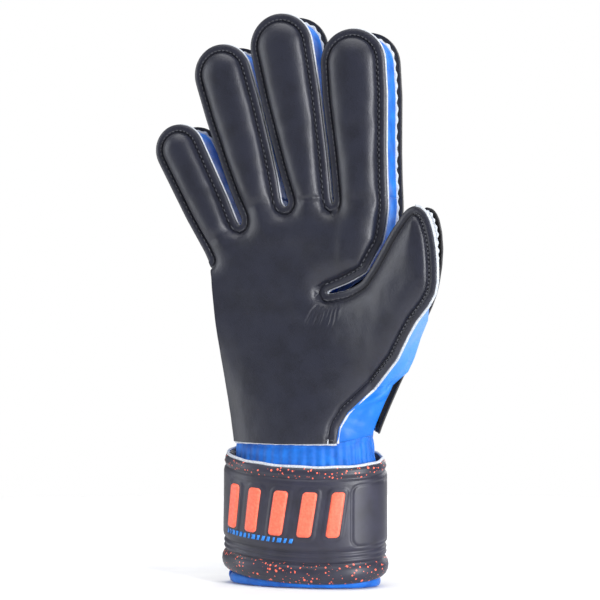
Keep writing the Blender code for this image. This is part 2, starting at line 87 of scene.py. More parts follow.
SLIT_HAND = ((48.8, 181.5), (46.8, 166.0), (39.3, 152.0), (29.5, 147.4), (18.6, 143.6))
SLIT_THUMB = ((18.6, 141.6), (29.0, 143.6), (37.5, 147.6), (43.5, 155.0), (48.8, 163.0),
              (53.8, 170.6), (58.6, 176.6), (61.4, 179.9), (64.0, 181.9), (66.9, 182.6))
SLIT_END = (17.4, 142.6)
THUMB_FRONT = ((66.9, 182.6), (70.0, 181.9), (72.8, 179.7), (75.0, 176.0), (77.0, 170.0), (78.3, 163.0),
               (79.0, 155.0), (79.0, 147.6), (77.8, 142.0), (74.1, 136.3), (67.4, 129.1),
               (62.8, 122.4), (56.0, 111.6), (44.4, 99.8), (30.0, 86.0), (26.0, 79.0), (25.0, 71.5))
THUMB_BACK = ((66.9, 182.6), (69.6, 181.9), (71.8, 179.9), (73.5, 176.6), (75.0, 170.6), (75.6, 163.0),
              (75.0, 155.0), (73.6, 147.6), (72.0, 142.0), (69.5, 136.3), (65.5, 129.1),
              (62.2, 122.4), (58.5, 111.6), (52.5, 99.8), (47.0, 88.0), (43.0, 79.0), (41.0, 74.0))
SLIT_MIDDLE = ((142.6, 18.6), (149.8, 38.4), (160.5, 45.1), (172.0, 50.8), (184.0, 57.5),
               (200.0, 66.0))     # height and x of the line between hand and thumb
FOLD = ((24.8, 71.0), (17.4, 142.6))     # line between hand and thumb below the slit
HEEL = {-1: (71.5, 71.0), 1: (75.5, 82.5)}     # lowest and middle height of each skin's lower edge
RIM = 4.0                         # seam allowance, from the edge to the stitch line
SKIN_THICK = 2.2
BACK_SEAM = 2.9                   # the gussets meet the backhand this far inside its edge
SEAM_STEP = 1.0                   # spacing of points along the outline
GUSSET_THICK = 0.8
GUSSET_COLUMNS = 9
STITCH_PITCH, STITCH_LONG = 2.6, 1.7
THUMB_BEND = ((0.94, 0.34), 66.0, 20.0)   # direction (x, z), where it starts and how long it is
AXIS_LEAN = 0.55                  # the joints' axes tilt by this share of their finger's lean
MESH_LOW = 137.0                  # the thumb's side is mesh above this height, fabric below

WRIST_X = 2.5                     # middle of the wrist, and the half-widths of its sleeve
SLEEVE_A, SLEEVE_B = 35.4, 19.1
# the strap: its lower and upper edge, how far it rises at the back and drops at the thumb's side,
# and how far its face stands out from the sleeve
STRAP_LOW, STRAP_HIGH, STRAP_TILT, STRAP_ROLL = 5.5, 60.5, 4.2, 1.8
STRAP_OUT = 4.9
# degrees round the wrist: where the strap starts, its face ends, its backing ends and its tail ends
STRAP_FROM, STRAP_SPLIT, STRAP_TO, TAIL_TO = -168.0, 92.0, 100.0, 186.0
PEEL_FROM, PEEL_TO = 94.0, 108.0  # the tail bends between these
BORDER_LOW, BORDER_HIGH = 10.0, 49.8      # the strap is speckled below and above these heights
PANEL_MIDDLE = 74.0, 32.0         # degrees and height of the strap's rounded panel
BAR_CENTRES = (-47.0, -27.0, -7.0, 13.0, 33.0)
BAR_WIDE, BAR_SLANT, BAR_LOW, BAR_HIGH = 11.0, 5.0, 27.5, 49.5    # width and slant in degrees
TICKS, TICK_FROM, TICK_PITCH, TICK_LOW = 15, -54, 4.1, 19.2


def place(point):
    x, y, z = point
    return Vector(((x - CENTRE_X) * MM, (y - CENTRE_Y) * MM, (z - HEM_Z) * MM))


def smooth(t):
    t = np.clip(t, 0.0, 1.0)
    return t * t * (3 - 2 * t)


def table(pairs, value):
    return np.interp(value, [p[0] for p in pairs], [p[1] for p in pairs])


# ---------------------------------------------------------------- materials

def linear(code):
    """An sRGB hex colour as a linear RGBA tuple."""
    parts = [int(code[i:i + 2], 16) / 255 for i in (1, 3, 5)]
    return (*[p / 12.92 if p <= 0.04045 else ((p + 0.055) / 1.055) ** 2.4 for p in parts], 1.0)


def add(tree, kind, settings=(), links=()):
    """Add a node; settings are (property or socket, value), links are (socket, output)."""
    made = tree.nodes.new(kind)
    for key, value in settings:
        if isinstance(key, str) and hasattr(made, key):
            setattr(made, key, value)
        else:
            made.inputs[key].default_value = value
    for key, source in links:
        tree.links.new(source, made.inputs[key])
    return made


def blank(name, roughness, ior=1.5, **extra):
    """A Principled material, its tree, its shader and its object coordinates."""
    made = bpy.data.materials.new(name)
    made.use_nodes = True
    tree = made.node_tree
    shader = tree.nodes["Principled BSDF"]
    shader.inputs["Roughness"].default_value = roughness
    shader.inputs["IOR"].default_value = ior
    for key, value in extra.items():
        shader.inputs[key.replace("_", " ")].default_value = value
    where = add(tree, "ShaderNodeTexCoord").outputs["Object"]
    return made, tree, shader, where


def per_mm(size):
    """Texture scale, in metres, for features of a size in millimetres."""
    return 1.0 / (size * MM)


def ramp(tree, source, stops):
    made = add(tree, "ShaderNodeValToRGB", links=[("Fac", source)])
    while len(made.color_ramp.elements) < len(stops):
        made.color_ramp.elements.new(0.5)
    for element, (position, code) in zip(made.color_ramp.elements, stops):
        element.position = position
        element.color = linear(code)
    return made.outputs["Color"]


def bump(tree, shader, source, depth, before=None, strength=1.0):
    """Bump from a height; depth in millimetres."""
    links = [("Height", source)]
    if before:
        links.append(("Normal", before))
    made = add(tree, "ShaderNodeBump", [("Strength", strength), ("Distance", depth * MM)], links)
    tree.links.new(made.outputs["Normal"], shader.inputs["Normal"])
    return made.outputs["Normal"]


def noise_of(tree, where, size, detail=2.0, rough=0.5):
    return add(tree, "ShaderNodeTexNoise", [("Scale", per_mm(size)), ("Detail", detail),
                                            ("Roughness", rough)], [("Vector", where)])


def foam_latex(name, dark, pale, roughness):
    """Foamed latex on sponge: charcoal, with an open, faintly pebbled skin that scatters light."""
    made, tree, shader, where = blank(name, roughness, 1.5, Sheen_Weight=0.08,
                                      Sheen_Roughness=0.4)
    cloud = noise_of(tree, where, 9.0, 4.0).outputs["Fac"]
    # real pores are 0.1 mm; 0.55 mm is the finest that still shows
    grain = noise_of(tree, where, 0.55, 2.0, 0.7).outputs["Fac"]
    mixed = add(tree, "ShaderNodeMath", [("operation", "MULTIPLY_ADD"), (1, 0.8)],
                [(0, grain), (2, cloud)])
    tree.links.new(ramp(tree, mixed.outputs[0], ((0.35, dark), (1.25, pale))),
                   shader.inputs["Base Color"])
    rough = add(tree, "ShaderNodeMapRange", [("To Min", roughness - 0.07),
                                             ("To Max", roughness + 0.09)], [("Value", grain)])
    tree.links.new(rough.outputs[0], shader.inputs["Roughness"])
    first = bump(tree, shader, grain, 0.10, strength=0.8)
    bump(tree, shader, noise_of(tree, where, 3.2, 3.0).outputs["Fac"], 0.12, first, 0.6)
    return made


def woven(name, dark, pale, thread, roughness=0.55, bump_depth=0.06, sheen=0.25):
    """Knitted polyester with elastane: ribs of fine yarn, a soft sheen and slight shade changes."""
    made, tree, shader, where = blank(name, roughness, 1.46, Sheen_Weight=sheen,
                                      Sheen_Roughness=0.35)
    cloud = noise_of(tree, where, 7.0, 3.0).outputs["Fac"]
    tree.links.new(ramp(tree, cloud, ((0.3, dark), (0.72, pale))), shader.inputs["Base Color"])
    ribs = add(tree, "ShaderNodeTexWave", [("bands_direction", "DIAGONAL"),
                                           ("Scale", per_mm(thread) / 20), ("Distortion", 1.2)],
               [("Vector", where)])
    first = bump(tree, shader, ribs.outputs["Fac"], bump_depth, strength=0.7)
    bump(tree, shader, noise_of(tree, where, 0.5).outputs["Fac"], bump_depth, first, 0.5)
    return made


def plain(name, dark, pale, roughness, size, depth, **extra):
    """A moulded or coated surface with faint mottling and grain."""
    made, tree, shader, where = blank(name, roughness, 1.5, **extra)
    grain = noise_of(tree, where, size, 3.0)
    tree.links.new(ramp(tree, grain.outputs["Fac"], ((0.3, dark), (0.7, pale))),
                   shader.inputs["Base Color"])
    bump(tree, shader, grain.outputs["Fac"], depth, strength=0.6)
    return made


def air_mesh(name):
    """Spacer mesh: rough white knit with open hexagonal cells about 1.3 mm across, with painted shade
    darkening the middle of each cell.
    """
    made, tree, shader, where = blank(name, 0.75, 1.46, Sheen_Weight=0.3)
    cells = add(tree, "ShaderNodeTexVoronoi", [("feature", "DISTANCE_TO_EDGE"),
                                               ("Scale", per_mm(1.5))], [("Vector", where)])
    height = add(tree, "ShaderNodeMapRange", [("From Max", 0.35)],
                 [("Value", cells.outputs["Distance"])])
    # painted shade: the colour darkens from the yarn towards the middle of each open cell, as shade falling
    # into the holes
    colour = ramp(tree, height.outputs[0], ((0.0, "#bcc1c9"), (0.45, "#a8aeb8"), (1.0, "#5f6a79")))
    split = add(tree, "ShaderNodeSeparateXYZ", links=[("Vector", where)])
    fade = add(tree, "ShaderNodeMapRange", [("From Min", 0.128), ("From Max", 0.150)],
               [("Value", split.outputs["Z"])])
    mix = add(tree, "ShaderNodeMix", [("data_type", "RGBA"), (6, linear("#6fa6f2"))],
              [(0, fade.outputs[0]), (7, colour)])
    tree.links.new(mix.outputs[2], shader.inputs["Base Color"])
    inverted = add(tree, "ShaderNodeMath", [("operation", "SUBTRACT"), (0, 1.0)],
                   [(1, height.outputs[0])])
    bump(tree, shader, inverted.outputs[0], 0.5)
    return made


def panel_fabric(name):
    """Stretch fabric of the thumb side: saturated blue below, and a paler blue above that is a painted
    highlight where light falls on the upper part.
    """
    made, tree, shader, where = blank(name, 0.5, 1.46, Sheen_Weight=0.3, Sheen_Roughness=0.3)
    split = add(tree, "ShaderNodeSeparateXYZ", links=[("Vector", where)])
    cloud = noise_of(tree, where, 10.0, 3.0).outputs["Fac"]
    wobble = add(tree, "ShaderNodeMath", [("operation", "MULTIPLY_ADD"), (1, 0.018)],
                 [(0, cloud), (2, split.outputs["Z"])])
    # painted highlight: the blue turns paler with height, standing for the light that falls on the panel's
    # upper part
    height = add(tree, "ShaderNodeMapRange", [("From Min", 0.070), ("From Max", 0.160)],
                 [("Value", wobble.outputs[0])])
    colour = ramp(tree, height.outputs[0], ((0.0, "#075fbd"), (0.32, "#0b74d8"), (0.5, "#4386dc"),
                                            (1.0, "#6c9be8")))
    tree.links.new(colour, shader.inputs["Base Color"])
    ribs = add(tree, "ShaderNodeTexWave", [("bands_direction", "Z"), ("Scale", per_mm(0.8) / 20),
                                           ("Distortion", 2.0)], [("Vector", where)])
    first = bump(tree, shader, ribs.outputs["Fac"], 0.05, strength=0.7)
    bump(tree, shader, noise_of(tree, where, 4.0, 3.0).outputs["Fac"], 0.5, first, 0.5)
    return made


def printed_foam(name):
    """Backhand foam with a printed skin: black at the seam, a white line, then blue, with coral
    beside the line on some stretches. The ramp covers the first 20 mm in from the edge."""
    made, tree, shader, where = blank(name, 0.5, 1.5, Sheen_Weight=0.1)
    seam = add(tree, "ShaderNodeAttribute", [("attribute_name", "seam")]).outputs["Fac"]
    grain = noise_of(tree, where, 0.7, 2.0).outputs["Fac"]
    scaled = add(tree, "ShaderNodeMath", [("operation", "DIVIDE"), (1, 20.0)], [(0, seam)])
    rim = ((0.0, "#1c1a1d"), (0.205, "#1c1a1d"), (0.215, "#e9ecef"), (0.25, "#e9ecef"))
    colour = ramp(tree, scaled.outputs[0], rim + ((0.26, "#0a6fd6"), (1.0, "#0d7be0")))
    tipped = ramp(tree, scaled.outputs[0],
                  rim + ((0.26, "#ff6b50"), (0.345, "#ff6b50"), (0.355, "#0a6fd6"),
                         (1.0, "#0d7be0")))
    streak = add(tree, "ShaderNodeTexNoise", [("Scale", per_mm(55.0)), ("Detail", 0.0)],
                 [("Vector", where)])
    shown = add(tree, "ShaderNodeMath", [("operation", "GREATER_THAN"), (1, 0.52)],
                [(0, streak.outputs["Fac"])])
    mix = add(tree, "ShaderNodeMix", [("data_type", "RGBA")],
              [(0, shown.outputs[0]), (6, colour), (7, tipped)])
    tree.links.new(mix.outputs[2], shader.inputs["Base Color"])
    first = bump(tree, shader, grain, 0.08, strength=0.7)
    bump(tree, shader, noise_of(tree, where, 4.0).outputs["Fac"], 0.12, first, 0.5)
    return made


def strap_foam(name):
    """Moulded EVA strap: satin near-black; print speckles of coral lie only in its two borders."""
    made, tree, shader, where = blank(name, 0.42, 1.5, Sheen_Weight=0.05)
    flat = add(tree, "ShaderNodeUVMap", [("uv_map", "flat")]).outputs["UV"]
    split = add(tree, "ShaderNodeSeparateXYZ", links=[("Vector", flat)])
    up = split.outputs["Y"]
    spots = None
    for size, limit in ((3.4, 0.17), (2.0, 0.2)):
        cells = add(tree, "ShaderNodeTexVoronoi", [("voronoi_dimensions", "2D"),
                                                   ("Scale", 1.0 / size)], [("Vector", flat)])
        chance = add(tree, "ShaderNodeSeparateColor", links=[("Color", cells.outputs["Color"])])
        radius = add(tree, "ShaderNodeMath", [("operation", "MULTIPLY"), (1, limit * 1.6)],
                     [(0, chance.outputs["Red"])])
        radius = add(tree, "ShaderNodeMath", [("operation", "SUBTRACT"), (1, limit * 0.55)],
                     [(0, radius.outputs[0])])
        inside = add(tree, "ShaderNodeMath", [("operation", "LESS_THAN")],
                     [(0, cells.outputs["Distance"]), (1, radius.outputs[0])]).outputs[0]
        if spots is None:
            spots = inside
        else:
            spots = add(tree, "ShaderNodeMath", [("operation", "MAXIMUM")],
                        [(0, spots), (1, inside)]).outputs[0]
    high = add(tree, "ShaderNodeMath", [("operation", "GREATER_THAN"), (1, BORDER_HIGH)],
               [(0, up)])
    low = add(tree, "ShaderNodeMath", [("operation", "LESS_THAN"), (1, BORDER_LOW)], [(0, up)])
    border = add(tree, "ShaderNodeMath", [("operation", "MAXIMUM")],
                 [(0, high.outputs[0]), (1, low.outputs[0])])
    mask = add(tree, "ShaderNodeMath", [("operation", "MULTIPLY")],
               [(0, border.outputs[0]), (1, spots)])
    grain = noise_of(tree, where, 0.5, 2.0).outputs["Fac"]
    black = ramp(tree, noise_of(tree, where, 8.0, 3.0).outputs["Fac"],
                 ((0.3, "#23232f"), (0.75, "#2f2f40")))
    mix = add(tree, "ShaderNodeMix", [("data_type", "RGBA"), (7, linear("#ff7055"))],
              [(0, mask.outputs[0]), (6, black)])
    tree.links.new(mix.outputs[2], shader.inputs["Base Color"])
    bump(tree, shader, grain, 0.05, strength=0.6)
    return made


LATEX = foam_latex("foam_latex_charcoal", "#0e0f17", "#20222f", 0.38)
BACK_PRINT = printed_foam("printed_backhand_foam")
GUSSET = woven("gusset_lycra_blue", "#0659b8", "#177fe2", 0.8)
MESH_WHITE = air_mesh("spacer_mesh_white")
PANEL = panel_fabric("side_panel_stretch_painted_highlight")
ELASTIC = woven("shirred_elastic_blue", "#0758b4", "#1279e0", 1.1, 0.6, 0.12)
STRAP = strap_foam("moulded_strap_foam")
CORAL = plain("printed_rubber_coral", "#f7634a", "#ff7a5e", 0.38, 1.2, 0.04)
PIPING = plain("piping_tape_white", "#a9afb8", "#d3d7dc", 0.6, 0.8, 0.08, Sheen_Weight=0.2)
THREAD = plain("stitch_thread_grey", "#2a2b31", "#4b4d55", 0.55, 0.4, 0.05)
TICK_BLUE = plain("printed_ink_blue", "#1a78d8", "#2f8fe8", 0.45, 1.0, 0.02)
LINING = woven("brushed_lining_grey", "#a6abb3", "#c4c8ce", 0.9, 0.8, 0.08, 0.4)
PILE = plain("loop_pile_black", "#141416", "#2b2b30", 0.9, 0.5, 0.5, Sheen_Weight=0.5)


# ---------------------------------------------------------------- the outline

def finger_point(finger, s, u):
    """A point s along a finger and u across it."""
    bx, bz = finger["base"]
    lean = math.radians(finger["lean"])
    return (bx - s * math.sin(lean) + u * math.cos(lean),
            bz + s * math.cos(lean) + u * math.sin(lean))


def finger_side(finger, side, height):
    """Points up one side of a finger, from a height to the start of its round tip."""
    lean = math.radians(finger["lean"])
    s = 0.0
    for _ in range(6):
        wide = float(table(finger["widths"], max(0.0, s)))
        s = (height - finger["base"][1] - side * wide * math.sin(lean)) / math.cos(lean)
    centre = finger["length"] - finger["tip"]
    stations = np.linspace(s, centre, 26)
    return [finger_point(finger, t, side * table(finger["widths"], max(0.0, t))) for t in stations]


def finger_outline(finger, left, right):
    centre = finger["length"] - finger["tip"]
    radius = finger["tip"]
    turns = np.linspace(math.pi, 0.0, 26)[1:-1]
    over = [finger_point(finger, centre + radius * math.sin(t), radius * math.cos(t)) for t in turns]
    return finger_side(finger, -1, left) + over + finger_side(finger, 1, right)[::-1]


def resample(points, step=None, count=None, passes=2):
    """Even points along a polyline, rounded a little, with both ends kept."""
    points = np.array(points, float)
    run = np.concatenate([[0], np.cumsum(np.linalg.norm(np.diff(points, axis=0), axis=1))])
    count = count or int(run[-1] / step) + 1
    even = np.linspace(0, run[-1], count)
    out = np.stack([np.interp(even, run, points[:, i]) for i in range(2)], axis=1)
    for _ in range(passes):
        out[1:-1] = 0.25 * out[:-2] + 0.5 * out[1:-1] + 0.25 * out[2:]
    return out


def shared_outline():
    """From the wrist up the little-finger side, over the fingers, into the slit, to the thumb tip.

    Returns the points, and for each finger the rows where its root and its split cross them."""
    names = list(FINGERS)
    points = list(LEFT_SIDE) + [(-41.5, 155.5)]
    for i, name in enumerate(names):
        left = 162.0 if i == 0 else WEBS[i - 1] + WEB_ROUND
        right = WEBS[i] + WEB_ROUND if i < 3 else 185.0
        points += finger_outline(FINGERS[name], left, right)
        if i < 3:
            nearer = finger_side(FINGERS[names[i + 1]], -1, WEBS[i] + WEB_ROUND)[0]
            points.append(((points[-1][0] + nearer[0]) / 2, WEBS[i]))
    points += list(SLIT_HAND) + [SLIT_END] + list(SLIT_THUMB)
    points = resample(points, SEAM_STEP, passes=3).tolist()
    marks = {}
    for name, finger in FINGERS.items():
        lean = math.radians(finger["lean"])
        for level in ("root", "split"):
            for side in (-1, 1):
                height = finger[level]
                edge = finger_side(finger, side, height)[0]
                near = [i for i in range(len(points) - 1)
                        if (points[i][1] - height) * (points[i + 1][1] - height) <= 0
                        and abs(points[i][0] - edge[0]) < 4.5]
                i = min(near, key=lambda k: abs(points[k][0] - edge[0]))
                (x0, z0), (x1, z1) = points[i], points[i + 1]
                t = (height - z0) / (z1 - z0)
                if 0.02 < t < 0.98:
                    points.insert(i + 1, [x0 + (x1 - x0) * t, height])
                    marks = {k: v + (v > i) for k, v in marks.items()}
                    marks[name, level, side] = i + 1
                else:
                    i += round(t)
                    points[i][1] = height
                    marks[name, level, side] = i
    marks["slit"] = min(range(len(points)), key=lambda k: math.dist(points[k], SLIT_END))
    marks["end"] = len(points) - 1
    marks["first"] = min(range(len(points)), key=lambda k: abs(points[k][1] - 158.0)
                         + (points[k][0] > -38) * 99)
    return np.array(points), marks


def inward(points):
    """Unit normals to the right of the way the outline runs, which is towards the glove."""
    ahead = np.gradient(points, axis=0)
    ahead /= np.linalg.norm(ahead, axis=1)[:, None]
    return np.stack([ahead[:, 1], -ahead[:, 0]], axis=1)


def distance(points, line):
    """Distance of each point to a polyline."""
    a, b = line[:-1], line[1:]
    ab = b - a
    length = (ab ** 2).sum(1) + 1e-12
    out = np.empty(len(points))
    for start in range(0, len(points), 2000):
        p = points[start:start + 2000, None, :]
        t = np.clip(((p - a) * ab).sum(2) / length, 0, 1)
        out[start:start + 2000] = np.sqrt((((a + t[..., None] * ab) - p) ** 2).sum(2)).min(1)
    return out


SHARED, MARKS = shared_outline()
OUTER = {-1: resample(THUMB_FRONT, count=170), 1: resample(THUMB_BACK, count=170)}


# ---------------------------------------------------------------- depth of the two skins

def local(finger, x, z):
    """Distance along and across a finger."""
    bx, bz = finger["base"]
    lean = math.radians(finger["lean"])
    dx, dz = x - bx, z - bz
    return -dx * math.sin(lean) + dz * math.cos(lean), dx * math.cos(lean) + dz * math.sin(lean)


def rim_depth(x, z, way):
    """Depth of the flat seam allowance; way is -1 on the palm's side and 1 on the back."""
    x, z = np.asarray(x, float), np.asarray(z, float)
    rise = smooth((z - 71) / 60)
    flat, radius, slope = (12.5, 20.6, 0.325) if way < 0 else (12.0, 19.6, 0.40)
    wrist = radius * np.sqrt(np.maximum(0.05, 1 - ((x - WRIST_X) / 40) ** 2))
    thumb_side = (z > SLIT_END[1]) & (x > table(SLIT_MIDDLE, z))
    share = np.where(thumb_side, 1.0, 1 - smooth((z - 148) / 28))
    eased = np.where(x < 36, np.clip(x - 16, 0, 20) ** 2 / 40, x - 26)
    return way * (wrist + (flat - wrist) * rise) - slope * eased * share


def ripple(x, z, size, seed):
    """Smooth noise from -1 to 1 with features of about a size in millimetres."""
    flat = zip(np.ravel(x) / size, np.ravel(z) / size)
    return np.array([noise.noise(Vector((a, b, seed))) for a, b in flat]).reshape(np.shape(x))


def valley(distance_to, width):
    return np.exp(-(distance_to / width) ** 2)


def finger_reach(x, z):
    """Half the width of the pad at each point, and how far along its finger it is."""
    reach = np.full(x.shape, 13.0)
    far = np.full(x.shape, -1.0)
    for finger in FINGERS.values():
        s, u = local(finger, x, z)
        wide = table(finger["widths"], np.clip(s, 0, finger["length"] - finger["tip"]))
        mine = (s > 0) & (np.abs(u) < wide + 1.5)
        grown = 13.0 + (wide - RIM - 13.0) * smooth(s / 12)
        reach = np.where(mine, grown, reach)
        far = np.where(mine, s, far)
    return reach, far


def seam_profile(seam, reach, height):
    """Rise of a sewn pad over its rim, from the distance to its edge."""
    share = np.clip((seam - RIM) / reach, 0, 1)
    crown = height * (1 - (1 - share) ** 2.3) ** 0.6
    groove = 0.85 * valley(seam - 3.9, 0.55)
    edge = 0.55 * np.clip(1 - seam / 0.8, 0, 1) ** 2
    flat = 0.18 * np.clip(1 - ((seam - 2.0) / 1.8) ** 2, 0, 1)
    return crown + flat - groove - edge


# folds across each finger's pad: how far along, depth and width
CREASES = {"middle": ((0.5, 0.9, 0.9), (38, 0.35, 4)), "ring": ((1.0, 0.55, 2.4), (34, 0.3, 4)),
           "index": ((1.0, 0.6, 3.2), (35, 0.35, 4)), "little": ((3.5, 0.55, 2.2), (27, 0.3, 3))}
# fine creases below the slit's end: start (x, z), direction and length
SLIT_FOLDS = [(15.4 + 1.75 * i, 137.3 + 0.3 * i, math.radians(236 + 3 * i),
               10 + 5 * math.sin(2.1 * i + 1) ** 2) for i in range(8)]
# gentle swells of the palm: middle (x, z), half-width, half-height and rise
PALM_SWELLS = ((33, 170, 8, 9, 0.9), (28, 160, 3.0, 12, 0.7), (5, 172, 22, 9, 0.6),
               (-20, 120, 14, 30, 0.5), (45, 118, 12, 20, 0.8))


def front_lift(x, z, seam):
    """Rise of the palm's skin over its rim."""
    reach, far = finger_reach(x, z)
    height = np.where(far > 0, 4.5, 1.0 + 3.3 * smooth((z - 73) / 55))
    rise = seam_profile(seam, reach, height)
    inside = smooth((seam - 4.0) / 2.0)
    for name, folds in CREASES.items():
        finger = FINGERS[name]
        s, u = local(finger, x, z)
        for where, depth, width in folds:
            wide = table(finger["widths"], where)
            across = np.clip(1.15 - (np.abs(u) / wide) ** 4, 0, 1)
            bent = s - where - 1.2 * np.cos(u / wide * 1.4)
            rise = rise - depth * valley(bent, width) * across * inside
    for ex, ez, angle, length in SLIT_FOLDS:
        dx, dz = math.cos(angle), math.sin(angle)
        t = (x - ex) * dx + (z - ez) * dz
        off = (x - ex) * -dz + (z - ez) * dx + 0.4 * np.sin(t / 2.4)
        taper = smooth((t + 0.5) / 2.0) * (1 - smooth((t - length + 5) / 6))
        rise = rise - 0.5 * valley(off, 0.55) * taper
    for cx, cz, wide, tall, rise_by in PALM_SWELLS:
        rise = rise + rise_by * np.exp(-((x - cx) / wide) ** 2 - ((z - cz) / tall) ** 2) * inside
    rise = rise + inside * (0.45 * ripple(x, z, 17.0, 3.1) + 0.14 * ripple(x, z, 6.0, 8.7))
    return rise


def back_lift(x, z, seam):
    """Rise of the backhand's foam over its rim, with channels that run down from the webs."""
    reach, far = finger_reach(x, z)
    height = np.where(far > 0, 3.4, 1.0 + 2.4 * smooth((z - 78) / 50))
    rise = seam_profile(seam, reach, height)
    inside = smooth((seam - 4.0) / 2.0)
    for name, finger in FINGERS.items():
        s, u = local(finger, x, z)
        for where in (finger["joint"] - 13, finger["joint"] + 1, finger["joint"] + 15):
            rise = rise - 0.9 * valley(s - where - 0.012 * u ** 2, 0.8) * inside * (s > 3)
    for x_top, x_low in ((-26, -12), (-3.5, 0), (21, 12)):
        t = np.clip((180 - z) / 85, 0, 1)
        line = x_top + (x_low - x_top) * t
        rise = rise - 1.1 * valley(x - line, 0.9) * smooth((z - 98) / 8) * smooth((182 - z) / 6)
    arch = 152 - 0.006 * (x - 2) ** 2
    rise = rise - 1.1 * valley(z - arch, 0.9) * inside * (np.abs(x - 2) < 40) * (far < 0)
    rise = rise - 0.9 * valley(z - 99 - 0.004 * (x - 2) ** 2, 0.9) * inside
    return rise + inside * 0.3 * ripple(x, z, 15.0, 5.3)


# ---------------------------------------------------------------- cutting a skin

GRID_STEP = 1.3
SEAM_ROWS = (0.7, 1.9, 2.9, 3.4, 3.75, 4.05, 4.4, 5.0, 5.9)    # rows of points beside the seam
GRID_INSET = 6.4
FINE_PATCH = ((0.0, 26.0), (122.0, 150.0), 0.55)     # x, z and spacing where the creases lie


def skin_loop(way):
    """A skin's whole outline, and the part of it that is sewn."""
    low, middle = HEEL[way]
    start = int(np.argmax(SHARED[:, 1] >= low))
    edge = OUTER[way][1:]
    edge = edge[edge[:, 1] >= low]
    outline = np.concatenate([SHARED[start:], edge])
    heel = resample([edge[-1], ((edge[-1][0] + SHARED[start][0]) / 2, middle), SHARED[start]], 1.2,
                    passes=4)[1:-1]
    return np.concatenate([outline, heel]), outline[MARKS["first"] - start:]


def skin_points(loop, fine):
    """Points over a skin: its outline first, rows along the seam, then an even filling."""
    closed = np.concatenate([loop, loop[:1]])
    normals = inward(np.concatenate([loop[-2:], loop, loop[:2]]))[2:-2]
    kept = [loop]
    for offset in SEAM_ROWS:
        ring = loop + normals * offset
        kept.append(ring[distance(ring, closed) > offset - 0.12])
    low, high = loop.min(0), loop.max(0)
    grid = []
    for row, z in enumerate(np.arange(low[1], high[1], GRID_STEP * 0.866)):
        xs = np.arange(low[0] + (row % 2) * GRID_STEP / 2, high[0], GRID_STEP)
        grid.append(np.stack([xs, np.full(xs.shape, z)], axis=1))
    grid = np.concatenate(grid)
    if fine:
        (x0, x1), (z0, z1), tight = fine
        inside = (grid[:, 0] > x0) & (grid[:, 0] < x1) & (grid[:, 1] > z0) & (grid[:, 1] < z1)
        xs, zs = np.meshgrid(np.arange(x0, x1, tight), np.arange(z0, z1, tight))
        zs = zs + (np.arange(xs.shape[1]) % 2) * tight / 2
        grid = np.concatenate([grid[~inside], np.stack([xs.ravel(), zs.ravel()], axis=1)])
    within = inside_loop(grid, loop) & (distance(grid, closed) > GRID_INSET)
    return np.concatenate(kept + [grid[within]])


def cut_skin(way, fine):
    """One skin as triangles, with its seam distance on each point and cuts at the joints."""
    loop, sewn = skin_loop(way)
    edges = [(i, (i + 1) % len(loop)) for i in range(len(loop))]
    made = geometry.delaunay_2d_cdt([Vector(p) for p in skin_points(loop, fine)], edges, [], 1,
                                    1e-7, False)
    flat = np.array([tuple(p) for p in made[0]])
    within = inside_loop(np.array([flat[list(face)].mean(0) for face in made[2]]), loop)
    seam = distance(flat, sewn)
    lift = front_lift if way < 0 else back_lift
    depth = rim_depth(flat[:, 0], flat[:, 1], way) + way * lift(flat[:, 0], flat[:, 1], seam)
    bm = bmesh.new()
    layer = bm.verts.layers.float.new("seam")
    verts = []
    for (x, z), y, s in zip(flat, depth, seam):
        vert = bm.verts.new((x, y, z))
        vert[layer] = s
        verts.append(vert)
    for face, mine in zip(made[2], within):
        if mine:
            bm.faces.new([verts[i] for i in (face if way < 0 else reversed(face))])
    cut_at_joints(bm)
    bmesh.ops.triangulate(bm, faces=[f for f in bm.faces if len(f.verts) > 3])
    bm.normal_update()
    return bm


def cut_at_joints(bm):
    """Cut a skin across each finger at its root and its split, and along the thumb's fold."""
    for finger in FINGERS.values():
        for level in ("root", "split"):
            height = finger[level]
            edge = [finger_side(finger, side, height)[0][0] for side in (-1, 1)]
            near = [f for f in bm.faces if abs(f.calc_center_median().z - height) < 3
                    and edge[0] - 2 < f.calc_center_median().x < edge[1] + 2]
            split_at(bm, near, (0, 0, height), (0, 0, 1))
    (x0, z0), (x1, z1) = FOLD
    near = [f for f in bm.faces if f.calc_center_median().z < z1 + 2
            and abs(f.calc_center_median().x - np.interp(f.calc_center_median().z,
                                                         (z0, z1), (x0, x1))) < 4]
    split_at(bm, near, (x0, 0, z0), (z1 - z0, 0, x0 - x1))


def split_at(bm, faces, point, normal):
    """Cut some faces along a plane."""
    geom = set(faces)
    for face in faces:
        geom.update(face.edges)
        geom.update(face.verts)
    bmesh.ops.bisect_plane(bm, geom=list(geom), plane_co=point, plane_no=normal, dist=1e-4)


def inside_loop(points, loop):
    """Whether each point lies inside a closed outline."""
    inside = np.zeros(len(points), bool)
    x, z = points[:, 0], points[:, 1]
    for (x0, z0), (x1, z1) in zip(loop, np.roll(loop, -1, axis=0)):
        crosses = (z0 > z) != (z1 > z)
        inside ^= crosses & (x < (x1 - x0) * (z - z0) / (z1 - z0 + 1e-12) + x0)
    return inside


def region(x, z):
    """Which piece of a skin a point belongs to."""
    for name, finger in FINGERS.items():
        s, u = local(finger, x, z)
        wide = table(finger["widths"], max(0.0, s))
        if z > finger["root"] and abs(u) < wide + 2.5 and s > -2:
            return name, "root" if z < finger["split"] else "tip"
    (x0, z0), (x1, z1) = FOLD
    if z < z1:
        return ("thumb", "") if x > x0 + (x1 - x0) * (z - z0) / (z1 - z0) else ("hand", "")
    return ("thumb", "") if x > table(SLIT_MIDDLE, z) else ("hand", "")


# ---------------------------------------------------------------- making pieces

def link(name, mesh, *materials):
    for made in materials:
        mesh.materials.append(made)
    obj = bpy.data.objects.new(name, mesh)
    bpy.context.collection.objects.link(obj)
    return obj


